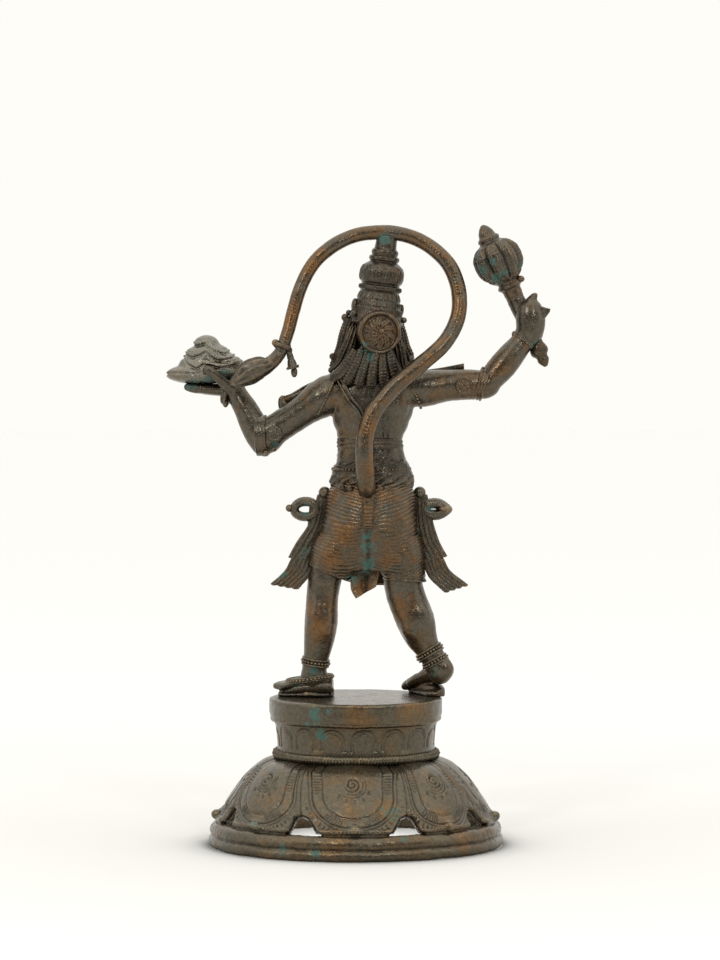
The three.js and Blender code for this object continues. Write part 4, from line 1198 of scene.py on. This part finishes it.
# Head, in its own frame: face towards -Y

HEAD_TURN = rotation(y=-7.6) @ rotation(z=13)
HEAD_PLACE = (-9.4, -1, 188)

face = Clay((-17, -20.6, -16), (17, 14, 15), FACE_CELL)
face.lump((0, 0, 0), (12, 12.4, 13.4)).lump((0, 0, -9), (9, 9, 6), melt=3)
face.limb([
    (0, -4, -4, 9, 8.6), (0, -9.8, -6.2, 6.4, 5), (0, -13, -7.2, 5.3, 3.8), (0, -14.8, -7.6, 3.6, 2.5),
], 1.4, UP)
face.limb([
    (-8.2, -8, 3.6, 1.3), (-4.4, -11.4, 4.6, 1.5), (0, -11.8, 3.8, 1.2), (4.4, -11.4, 4.6, 1.5),
    (8.2, -8, 3.6, 1.3),
], 1)
for side in (1, -1):
    face.lump((6.6 * side, -8.4, -5.4), (3.7, 3.6, 3.6), melt=2)
    face.lump((4.5 * side, -13.2, 0.6), (2.9, 2, 2.2), melt=0.8, take=True)
    face.lump((4.5 * side, -10.6, 0.6), (2.3, 2.1, 1.9), melt=0.3)
    for high in (1, -1):
        face.limb([
            (7.3 * side, -10.2, 0.6, 0.5), (6 * side, -12, 0.6 + 1.3 * high, 0.6),
            (4.5 * side, -12.7, 0.6 + 1.7 * high, 0.65), (3 * side, -12.6, 0.6 + 1.1 * high, 0.55),
            (2.2 * side, -12, 0.4, 0.5),
        ], 0.3)
    face.lump((4.4 * side, -12.9, 0.6), (0.8, 0.6, 0.8), melt=0.3, take=True)
    face.lump((1.1 * side, -16.4, -3.8), (0.6, 0.8, 0.6), melt=0.3, take=True)
    face.lump((12.4 * side, 0.5, 0.6), (2.2, 3.8, 5.4), melt=1)
    face.lump((14.2 * side, -0.8, 1), (1.3, 2.2, 3.2), melt=0.5, take=True)
face.limb([(0, -11.6, 3.4, 1.5, 1.2), (0, -13.2, 0, 1.6, 1.3), (0, -14.6, -2.8, 2, 1.5)], 0.8, UP)
face.lump((0, -15, -3.3), (2.3, 1.6, 1.4), melt=0.6)
for z, r in ((-7.2, 0.9), (-9.4, 1)):
    face.limb([
        (-5, -12.4, z + 0.6, 0.7), (-3, -15.8, z, r), (0, -17, z, r), (3, -15.8, z, r),
        (5, -12.4, z + 0.6, 0.7),
    ], 0.5)
face.limb([
    (-5.8, -11.8, -7.2, 0.6), (-3.2, -16.6, -8.3, 0.6), (0, -18.1, -8.3, 0.6), (3.2, -16.6, -8.3, 0.6),
    (5.8, -11.8, -7.2, 0.6),
], 0.25, take=True)
face.lump((0, -12.4, -11.2), (3.6, 3, 2.5), melt=1.4)


def fur(p):
    """Short combed hair round the face and under the chin."""
    x, y, z = p[..., 0], p[..., 1], p[..., 2]
    around = np.arctan2(z + 3, np.abs(x) + 0.01)
    edge = smooth(np.hypot(x, (z + 3) * 0.9), 9, 10.6) * (1 - smooth(y, 4, 7)) * (1 - smooth(z, 5, 7))
    return 0.3 * np.cos(34 * around + 0.8 * noise(p, 3, 9)) * edge


face.press((-13, -15, -14), (13, 8, 8), fur)
figure_piece("figure_head", placed([face], HEAD_TURN, HEAD_PLACE), uneven=0.08)


def crown_carving(s, a, p):
    """Hatched bands, upright fluting, and nested arcs round the bulb."""
    z = p[..., 2]
    bands = between(z, 10, 13.6, 0.5) + between(z, 14.6, 17, 0.4) + between(z, 22.4, 25, 0.4)
    hatch = 0.26 * np.cos(60 * a + 0.5 * np.sin(3 * z)) * bands
    grooves = ridge(z - 9.8, 0.3) + ridge(z - 14, 0.35) + ridge(z - 17.4, 0.35) + ridge(z - 21.6, 0.3)
    rims = -0.35 * grooves
    flutes = 0.2 * np.cos(26 * a + 0.6 * np.sin(z)) * between(z, 17.6, 21.6, 0.6)
    turn = np.mod(a * 5 / TAU + 0.2, 1) - 0.5
    d = np.hypot(turn * 15, z - 31)
    arcs = 0.2 * np.cos(TAU * d / 1.7) * between(z, 26.6, 35.6, 0.8)
    lobes = 0.25 * np.cos(5 * a + 1.2) * between(z, 26, 36, 2)
    return hatch + rims + flutes + arcs + lobes


CROWN = [
    (1, 10), (5.6, 14.2), (9, 14), (11, 13), (13, 12.7), (15.4, 12), (19, 11), (21.8, 10.2), (23.2, 11),
    (24.6, 10.9), (25.6, 9.8), (27, 10.8), (29.4, 11.4), (32.4, 11.3), (35, 10.2), (36.6, 8.2), (37.4, 7.2),
    (38.6, 7.9), (39.8, 7.8), (40.8, 6.6), (42, 7), (43.2, 6.8), (44.4, 5.7), (51, 5.2),
]
crown = [tube([(0, 0, z, r) for z, r in CROWN], 150, 160, carve=crown_carving)]
crown += beads((0, 0, 5.4), UP, 14.1, 14.1, 0.8, 50)
crown += [ball((0, -13.8, 14.4), (4, 2.2, 6), 14, 20), ball((0, -15.8, 13.6), (1.7, 1.2, 2.2), *KNOB)]
crown += [ball((12.6 * side, 0, 13.6), (1.3, 3, 3.4), 12, 18) for side in (1, -1)]
for side in (1, -1):
    crown += knobs((13.4 * side, 6, 9, 1.6), (13.8 * side, -4, 9, 1.6))

PLAQUE = [
    (10.9, 9), (11.1, 15), (11, 16.6), (10.5, 17.5), (9.8, 17.6), (9.2, 17), (8.9, 16.2), (7.6, 16),
    (6, 16.5), (4.2, 17), (2.8, 17.1), (0.05, 17.2),
]


def plaque_carving(a, r, z):
    """Nine curved petals with rounded tips in low relief, inside a plain rolled rim."""
    bend = 5 * (a + 0.07 * (r - 5))
    across = np.abs(np.cos(bend))
    petal_shape = smooth(across - ((r - 5) / 3.5) ** 2, -0.1, 0.35)
    vein = -0.22 * ridge(across - 1, 0.05) + 0.12 * np.cos(TAU * r / 1.5) * across
    return between(r, 2, 9, 0.4) * (0.46 * petal_shape - 0.36 + vein * petal_shape)


disc = turned([(0.05, 9), *PLAQUE], 60, 150, plaque_carving)
plaque = placed([disc], rotation(x=-90), (0.9, 0, 1.2))
plaque += [ball((0.4, 17.2, 2), (1.5, 1.2, 1.5), 10, 16), ball((1, 15.4, -11.2), (2.1, 1.6, 3), 12, 16)]
figure_piece("figure_crown", placed(crown, HEAD_TURN, HEAD_PLACE), dim=0.52, uneven=0.12)
figure_piece("figure_plaque", placed(plaque, HEAD_TURN, HEAD_PLACE), warm=0.25, dim=0.14, uneven=0.08)

# Hair

MANE = [
    (-9.4, 1.6, 186, 9, 8), (-9.2, 2.2, 176, 13, 9.2), (-8.6, 3, 168, 17.2, 9.2),
    (-7.8, 3.4, 162.4, 18, 8.2),
]


def mane_carving(s, a, p):
    """Upright strands with finer rings across."""
    return 0.7 * np.abs(np.cos(11 * a)) - 0.4 + 0.16 * np.cos(TAU * s / 1.9)


def braided(s, a, p):
    """Cross ridges like a braid."""
    lean = 0.9 * np.cos(a - math.pi / 2)
    ridges = 0.55 * np.abs(np.cos(math.pi * (s + lean * 1.5) / 1.6))
    return ridges - 0.3 - 0.3 * ridge(np.sin(a - math.pi / 2), 0.12)


def lock(x0, x1, z1, reach):
    """One lock of the mane, from under the plaque out over the shoulders, its tip turned up."""
    wide = x1 - x0
    return tube([
        (x0, 12.4, 180, 2), (x0 + 0.3 * wide, 13, 174, 2.9), (x0 + 0.7 * wide, 12.6 - reach, 168, 3.4),
        (x1, 11.6 - 1.6 * reach, z1 + 1.6, 3.1), (x1 + 0.1 * wide, 11 - 2 * reach, z1, 1.9),
    ], 60, 20, carve=braided)


def side_combed(s, a, p):
    """Upright ridges with fine strokes across, at the side of the head."""
    strokes = 0.14 * np.cos(TAU * (s + 0.4 * np.cos(9 * a)) / 1.6)
    return 1.2 * np.abs(np.cos(4.5 * a + 0.08 * s)) - 0.8 + strokes


def combed(s, a, p):
    """Upright ridges with fine strokes across, for the mass under the side hair."""
    return 1.1 * np.abs(np.cos(8 * a + 0.05 * s)) - 0.8 + 0.14 * np.cos(TAU * s / 1.6)


hair = [tube(MANE, 44, 110, carve=mane_carving)]
for x0, x1, z1, reach in (
    (0.5, 10.6, 164.6, 1.6), (-2.8, 4.6, 162.4, 0.4), (-6.4, -1.4, 161.2, 0), (-10, -7.6, 160.8, 0),
    (-13.6, -14.2, 161.4, 0.3), (-17, -21.6, 163.4, 1.4),
):
    hair.append(lock(x0, x1, z1, reach))
for stations in (
    [
        (3, 1, 195, 2.8), (4.8, 1.6, 188, 3.5), (6.6, 1.8, 181, 3.5), (9.2, 1.6, 175.4, 3),
        (11.6, 1, 170.4, 2.2),
    ],
    [
        (1, 5.6, 191, 2.4), (3, 7.8, 184, 3), (5.2, 8.4, 178, 3.2), (8, 7.6, 172, 2.8),
        (12.4, 5.6, 168.2, 1.8),
    ],
    [
        (-21.6, -3, 195.4, 2.2), (-23.2, -2.4, 188, 2.8), (-24.6, -1.8, 181, 3.3), (-27, -1, 176, 2.8),
        (-26.6, 0, 171, 2.4),
    ],
    [
        (-19, 5.6, 190, 2.2), (-20.8, 7, 184, 2.8), (-22.4, 7.2, 178, 3), (-23.6, 6, 172, 2.6),
        (-26, 4.4, 168, 1.8),
    ],
):
    hair.append(tube(stations, 56, 54, carve=side_combed))
for stations in (
    [(1, 1, 195, 4.6, 5.6), (3, 1.4, 187, 5.2, 6), (4.4, 1.8, 177, 6.2, 6), (6, 2, 169, 7, 5.6)],
    [(-17, 0, 195, 5, 5.6), (-18.6, 0.6, 187, 5, 6), (-20, 1.4, 177, 5.6, 6.2), (-21, 2, 169, 6.6, 5.8)],
):
    hair.append(tube(stations, 40, 90, carve=combed))
hair += knobs((5.6, 1, 196.4, 2), (12, 2.6, 176.4, 1.8), (12.6, 2.4, 169.4, 1.8))
hair += knobs((-28, 1, 175, 2), (-26.6, 2, 170.4, 1.9))
figure_piece("figure_hair", hair, dim=0.66, uneven=0.14)

# Mace

MACE_TOP, MACE_FOOT, MACE_LENGTH = np.array([-65.4, -7.5, 244.0]), np.array([-98.6, -7.5, 171]), 80.2
# The mace's outline as shares of its length and radii
MACE = [
    (0, 0.8), (0.02, 2.6), (0.05, 4), (0.08, 4.5), (0.088, 5.8), (0.108, 5.8), (0.118, 5), (0.135, 8),
    (0.165, 10.6), (0.2, 11.9), (0.25, 12.3), (0.3, 11.8), (0.34, 10.2), (0.38, 7.6), (0.4, 5.6),
    (0.41, 5.4), (0.42, 6.6), (0.437, 6.6), (0.45, 5), (0.6, 4.5), (0.845, 3.8), (0.865, 4.4), (0.89, 4.9),
    (0.912, 4.4), (0.926, 3.1), (0.94, 2.9), (0.955, 3.3), (0.98, 2.2), (1, 0.9),
]


def mace_carving(s, a, p):
    """Eight lobes with nested grooves, and plain rings on the shaft."""
    t = s / MACE_LENGTH
    head = between(t, 0.115, 0.4, 0.04)
    lobe = np.abs(np.cos(4 * a + 0.5))
    lens = lobe - 0.5 * ((t - 0.26) / 0.14) ** 2
    nest = -0.6 * (ridge(lens - 0.34, 0.09) + ridge(lens - 0.7, 0.07)) - 0.4 * ridge(lobe - 1, 0.02)
    barbs = 0.22 * np.cos(TAU * (t / 0.024 + 2.2 * lobe)) * between(lobe, 0.5, 0.86, 0.1)
    rings = -0.25 * (ridge(t - 0.5, 0.006) + ridge(t - 0.52, 0.006)) + 0 * a
    return head * (2.9 * lobe**0.5 - 2.2 + nest + barbs) + rings


def by_length(stations, rows, sides, carve):
    """A straight limb whose stations are uneven: rows are spread by length, not by station."""
    p = np.array(stations)
    s = np.concatenate([[0], np.cumsum(np.linalg.norm(np.diff(p[:, :3], axis=0), axis=1))])
    at = np.linspace(0, s[-1], rows)
    even = np.stack([np.interp(at, s, p[:, n]) for n in range(4)], -1)
    even[1:-1, 3] = (even[:-2, 3] + 2 * even[1:-1, 3] + even[2:, 3]) / 4
    return tube(even.tolist(), rows, sides, carve=carve)


mace_axis = MACE_FOOT - MACE_TOP
mace_path = [(*(MACE_TOP + mace_axis * t), r) for t, r in MACE]
figure_piece("figure_mace", [
    by_length(mace_path, 160, 144, mace_carving),
    ball(MACE_TOP + 0.425 * mace_axis + (-5.6, 1, 3.4), (2.2, 2, 1.8), 10, 16),
], dim=0.14, uneven=0.12)

# Herb mountain

ROCK_BOX = ((56, -28, 156), (102, 6, 192))
peak = Clay(*ROCK_BOX, ROCK_CELL)
for x, y, z, a, b, c, lean, melt in (
    (79, -12, 167.2, 19.8, 13, 5.6, 1, 1), (70, -11, 170, 13, 12, 5.2, -6, 1.4),
    (78, -11.6, 171, 14, 11, 7.8, 0, 1.2), (76.6, -11, 176.6, 11.6, 9.6, 6.4, 0, 1.4),
    (66.4, -9, 174.6, 7.8, 8, 3.4, -20, 1.2), (77.4, -11.4, 182, 6.5, 6.6, 5.2, 0, 1.6),
):
    peak.lump((x, y, z), (a, b, c), rotation(y=lean), melt)

# Lower edges of the bowl and of the rock layers over it, as x and z from the picture's right
BOWL_LINE = ([57, 68, 79.2, 83.8, 96.8, 99], [170.5, 170, 168.3, 167.5, 167.7, 166.4])
LAYERS = [
    ([57, 62.8, 70.2, 75.3, 79.2, 82.6, 87.2, 88.9, 92],
     [173.4, 172.2, 170.9, 172, 172.5, 170.2, 172.8, 175.6, 177]),
    ([61, 64.5, 71.3, 74.7, 77.5, 80.4, 84.9, 88.3, 91],
     [178, 175.6, 174.5, 176.2, 179, 177.3, 175.9, 177.9, 180]),
    ([64, 67.9, 72.4, 76.4, 78.1, 80.4, 83.2, 86],
     [179.4, 177.9, 179, 181.3, 183.3, 182.7, 181.9, 184]),
]


def draped(p):
    """Overlapping rock layers with scalloped edges and fine hatching, over a smooth bowl with a flat foot."""
    x, z = p[..., 0], p[..., 2]
    relief = -1.1 * ridge(z - np.interp(x, *BOWL_LINE), 0.5) - 3 * smooth(-z, -161.5, -160.5)
    for edge in LAYERS:
        above = z - np.interp(x, *edge)
        lip = 0.75 * smooth(above, -0.3, 0.3) * (1 - smooth(above, 0.8, 5)) - 0.5 * ridge(above + 0.7, 0.5)
        second = -0.5 * ridge(above - 1.9 + 0.3 * np.sin(x / 1.7), 0.35)
        hatch = 0.13 * np.cos(TAU * (x + 0.5 * z + 0.2 * p[..., 1]) / 1.3) * between(above, 0.2, 3.4, 0.6)
        relief = relief + lip + second + hatch
    return relief


peak.press(*ROCK_BOX, draped)
piece("figure_mountain", [peak], ROCK, "hanuman_figure", "figure_bronze", dim=0.1, uneven=0.14)

# Scarf over the shoulders


def hem(u, v):
    """Faint lengthwise folds."""
    return 0.16 * np.cos(TAU * 3 * u + 2 * v) + 0 * v


scarf = [
    fan(
        [(9, -4.4, 169.5), (18.7, -4.8, 165), (26.5, -5, 161.2), (34.3, -5, 156.8), (38.6, -4.8, 155.6)],
        [(9, -4.4, 160), (18, -4.8, 155), (26, -5, 151), (32, -5, 148), (36.6, -4.8, 146.4)], 50, 28, 2.4,
        hem,
    ),
    fan(
        [(-26, -4.4, 168.4), (-41, -4.6, 170), (-56, -4.8, 172.6)],
        [(-26, -4.4, 162), (-41, -4.6, 163), (-56, -4.8, 166)], 40, 24, 2, hem,
    ),
    tube([
        (37.6, -4.6, 156, 0.8), (38, -4.5, 154, 2.2), (37.4, -4.4, 150.6, 2.8), (36, -4, 147.4, 2.4),
        (35, -4, 145.6, 0.9),
    ], 50, 24),
    cord([
        (10, 9.4, 168.4), (8.3, 11.2, 166), (5, 12.6, 160.4), (1.6, 13.3, 154.4), (-2.4, 13.4, 150),
        (-4.4, 13.2, 145.6),
    ], 0.75, 90, 10),
    cord([
        (11.6, 8.8, 167.6), (9.6, 11, 164.6), (6.4, 12.5, 158.6), (2.8, 13.2, 152.8), (-1.4, 13.3, 148.2),
        (-3.2, 13, 144),
    ], 0.5, 90, 8),
]
scarf += strand([(10.2, 9.4, 167.4), (13, 10.4, 160), (16.4, 9.6, 152.6), (19.4, 7.6, 147)], 0.8, 20)
scarf += strand([(-28, 9, 160), (-31, 9.4, 156), (-33.4, 8, 150)], 0.8, 9)
for side in (1, -1):
    neck = [(-8.6 + 11 * side, -10, 166), (-8.6 + 8 * side, -12.6, 160), (-8.6, -13.6, 154.6)]
    scarf.append(cord(neck, 0.9, 60, 10))
scarf += strand([
    (8, -9.2, 165), (0, -13, 157.6), (-8.6, -14, 153), (-17, -13, 157.6), (-25, -9.2, 165),
], 1, 34)
figure_piece("figure_scarf", scarf, dim=0.1, uneven=0.1)

# Bangles, bosses, clasp and earrings


def band(centre, axis, width, a, b, ridges, hatch):
    """A broad worn armlet of parallel ridges, the last of them twisted like a rope."""
    axis = unit(axis)
    at = [(-0.5, -0.8), (-0.42, 0), (0.42, 0), (0.5, -0.8)]
    stations = [(*(np.asarray(centre, float) + axis * width * s), a + down, b + down) for s, down in at]

    def carve(s, angle, p):
        t = (p - np.asarray(centre)) @ axis / width
        rope = smooth(t, 0.5 - 1 / ridges, 0.52 - 1 / ridges)
        twist = hatch * np.cos(40 * angle + 9 * t) * (0.25 + rope)
        return 0.62 * np.abs(np.sin(math.pi * ridges * (t + 0.5))) ** 0.7 + twist - 0.3
    return tube(stations, 30, 96, carve=carve)


jewels = [
    band((48.8, -2.9, 135.3), (-1, 0.1, 0.05), 6.4, 10.2, 8.7, 5, 0.24),
    band((66.6, -8.6, 156.6), (1, -0.3, 0.3), 3.6, 5.4, 6.4, 2, 0.05),
    band((-64.8, -1.9, 162), (1, 0, 0.3), 5.2, 8.3, 8.2, 3, 0.3),
    band((-86.6, -5, 184.6), (-1.5, -0.2, 2), 2.4, 6.3, 6.1, 2, 0.05),
    *knobs((42.2, 5.4, 128.6, 1.4), (46.4, 4.2, 126.8, 1.3)),
    ball((-82, -4.4, 187.6), (1.5, 1.5, 1.9), *KNOB),
]
# Anklets: centre, axis, radii, width, thickness and number of beads
for anklet in (
    ((20.9, -0.4, 18.2), (0.4, -0.2, -2.6), 6.7, 6.7, 3, 0.7, 24),
    ((24, -2.2, 9.2), (0.12, 0, 1), 11.8, 7.6, 1.8, 0.6, 38),
    ((-38.3, -0.6, 23), (-1.6, 0.3, -2.6), 7, 7.2, 3, 0.7, 26),
    ((-41.2, 0.2, 18.2), (-1.4, 0.3, -2.6), 6.5, 6.7, 2.6, 0.7, 24),
):
    jewels += bangle(*anklet)


def boss(x, y, z, r):
    """A shallow round boss: a rolled rim round a worn flower."""
    profile = [
        (0.05, 0.5), (0.2, 0.5), (0.45, 0.44), (0.7, 0.34), (0.78, 0.4), (0.88, 0.46), (0.97, 0.34),
        (1, 0.1), (1, -0.4), (0.05, -0.4),
    ]

    def petals(a, reach, h):
        return 0.2 * np.cos(8 * a) * between(reach, 0.2 * r, 0.72 * r, 0.2) * (h > 0)

    flower = turned([(r * p, r * q) for p, q in profile], 36, 60, petals)
    return placed([flower], rotation(x=-90), (x, y, z))


jewels += boss(42.2, 5.2, 136.8, 4.2) + boss(-55.6, 6.3, 161.4, 4.6)
jewels += [
    ball((67.6, -6.4, 152.6), (1.7, 1.7, 2.9), 10, 14), ball((-8, -14.4, 115), (4.4, 2.8, 4.6), 14, 22),
]
jewels += beads((-8, -16.4, 115), BACK, 3, 3.2, 0.6, 14, up=UP)
jewels += [
    ball((-8.6, -12.6, 156), (3.2, 2, 4.2), 12, 18), ball((-8.6, -14.6, 156), (1.2, 0.8, 1.6), 8, 12),
]
for side in (1, -1):
    jewels += placed([
        hoop((12.8 * side, 0, -7), (1, 0, 0), 2.6, 2.6, 0.7, 40, 10),
        ball((12.8 * side, 0, -10.4), (1, 1, 1.6), 8, 12),
    ], HEAD_TURN, HEAD_PLACE)
figure_piece("figure_jewels", jewels, uneven=0.06)

# Floor, light and camera

ground = bpy.data.meshes.new("floor")
ground.from_pydata([(-6, -6, 0), (6, -6, 0), (6, 6, 0), (-6, 6, 0)], [], [(0, 1, 2, 3)])
floor_material, pale = new_material("pale_floor")
spot = pale.add("TexCoord").outputs["Object"]
grain_and_painted_shade = pale.spots(spot, 3.0)
middle = pale.add("VectorMath", {0: spot}, operation="LENGTH").outputs["Value"]
# Painted shade: the floor is darker near the pedestal and lightens out to about 0.8 metres
grain_and_painted_shade = pale.times(pale.ramp(middle, 0.1, 0.8), pale.plus(0.94, pale.times(grain_and_painted_shade, 0.12)))
white = pale.mix(grain_and_painted_shade, (0.655, 0.652, 0.632, 1), (0.714, 0.712, 0.712, 1))
# A painted contact shadow where the floor meets the foot ring, outside it only
beside = pale.add("AmbientOcclusion", {"Distance": 0.036}, samples=12).outputs["AO"]
under = pale.minus(1.0, pale.ramp(middle, 0.0755, 0.0765))
clear_of_painted_shadow = pale.calc("MAXIMUM", pale.ramp(beside, 0.46, 0.98), under)
white = pale.mix(clear_of_painted_shadow, (0.16, 0.16, 0.155, 1), white)
pale.add("OutputMaterial", {"Surface": pale.add("BsdfDiffuse", {"Color": white}).outputs[0]})
ground.materials.append(floor_material)
floor = bpy.data.objects.new("floor", ground)
bpy.context.scene.collection.objects.link(floor)


def softbox(name, place, target, size, power):
    """A soft light from a place towards a target, its size in metres and its power in watts."""
    light = bpy.data.lights.new(name, "AREA")
    light.shape, light.size, light.size_y = "RECTANGLE", size[0], size[1]
    light.energy = power
    lamp = bpy.data.objects.new(name, light)
    lamp.location = place
    from_target = Vector(place) - Vector(target)
    lamp.rotation_euler = from_target.to_track_quat("Z", "Y").to_euler()
    bpy.context.scene.collection.objects.link(lamp)


CENTRE, WIDE_BOX, SMALL_BOX = (0, 0, 0.17), (0.9, 1.4), (0.16, 0.16)
softbox("left", (1.5, 0.7, 0.9), CENTRE, WIDE_BOX, 3)
softbox("right", (-1.5, 0.5, 0.8), CENTRE, WIDE_BOX, 2)
softbox("glint_left", (0.7, 1.5, 1.2), CENTRE, SMALL_BOX, 4.8)
softbox("glint_right", (-0.7, 1.5, 1), CENTRE, SMALL_BOX, 3.4)
softbox("hollow", (0, 0, 0.06), (0, 0, 0), (0.05, 0.05), 0.1)

# A bright room with a brighter ceiling, dark behind the camera
world = bpy.data.worlds.new("studio")
world.use_nodes = True
bpy.context.scene.world = world
sky = Nodes(world.node_tree)
toward = sky.add("SeparateXYZ", {0: sky.add("TexCoord").outputs["Generated"]}).outputs
room = sky.mix(sky.ramp(toward[1], 0.2, 0.95), (0.99, 0.982, 0.94, 1), (0.16, 0.16, 0.15, 1))
room = sky.mix(sky.ramp(toward[2], 0.3, 0.9), room, (1.75, 1.725, 1.655, 1))
sky.add("OutputWorld", {"Surface": sky.add("Background", {"Color": room, "Strength": 1.0}).outputs[0]})
bpy.context.scene.view_settings.view_transform = "Standard"

# The photograph's view
camera_data = bpy.data.cameras.new("camera")
camera_data.lens = 170.15
camera_data.sensor_width = 36
camera_data.clip_end = 50
camera = bpy.data.objects.new("camera", camera_data)
camera.location = (-0.0021, 2.34, 0.297)
camera.rotation_euler = (math.radians(90 - 2.651), 0, math.pi)
bpy.context.scene.collection.objects.link(camera)
bpy.context.scene.camera = camera
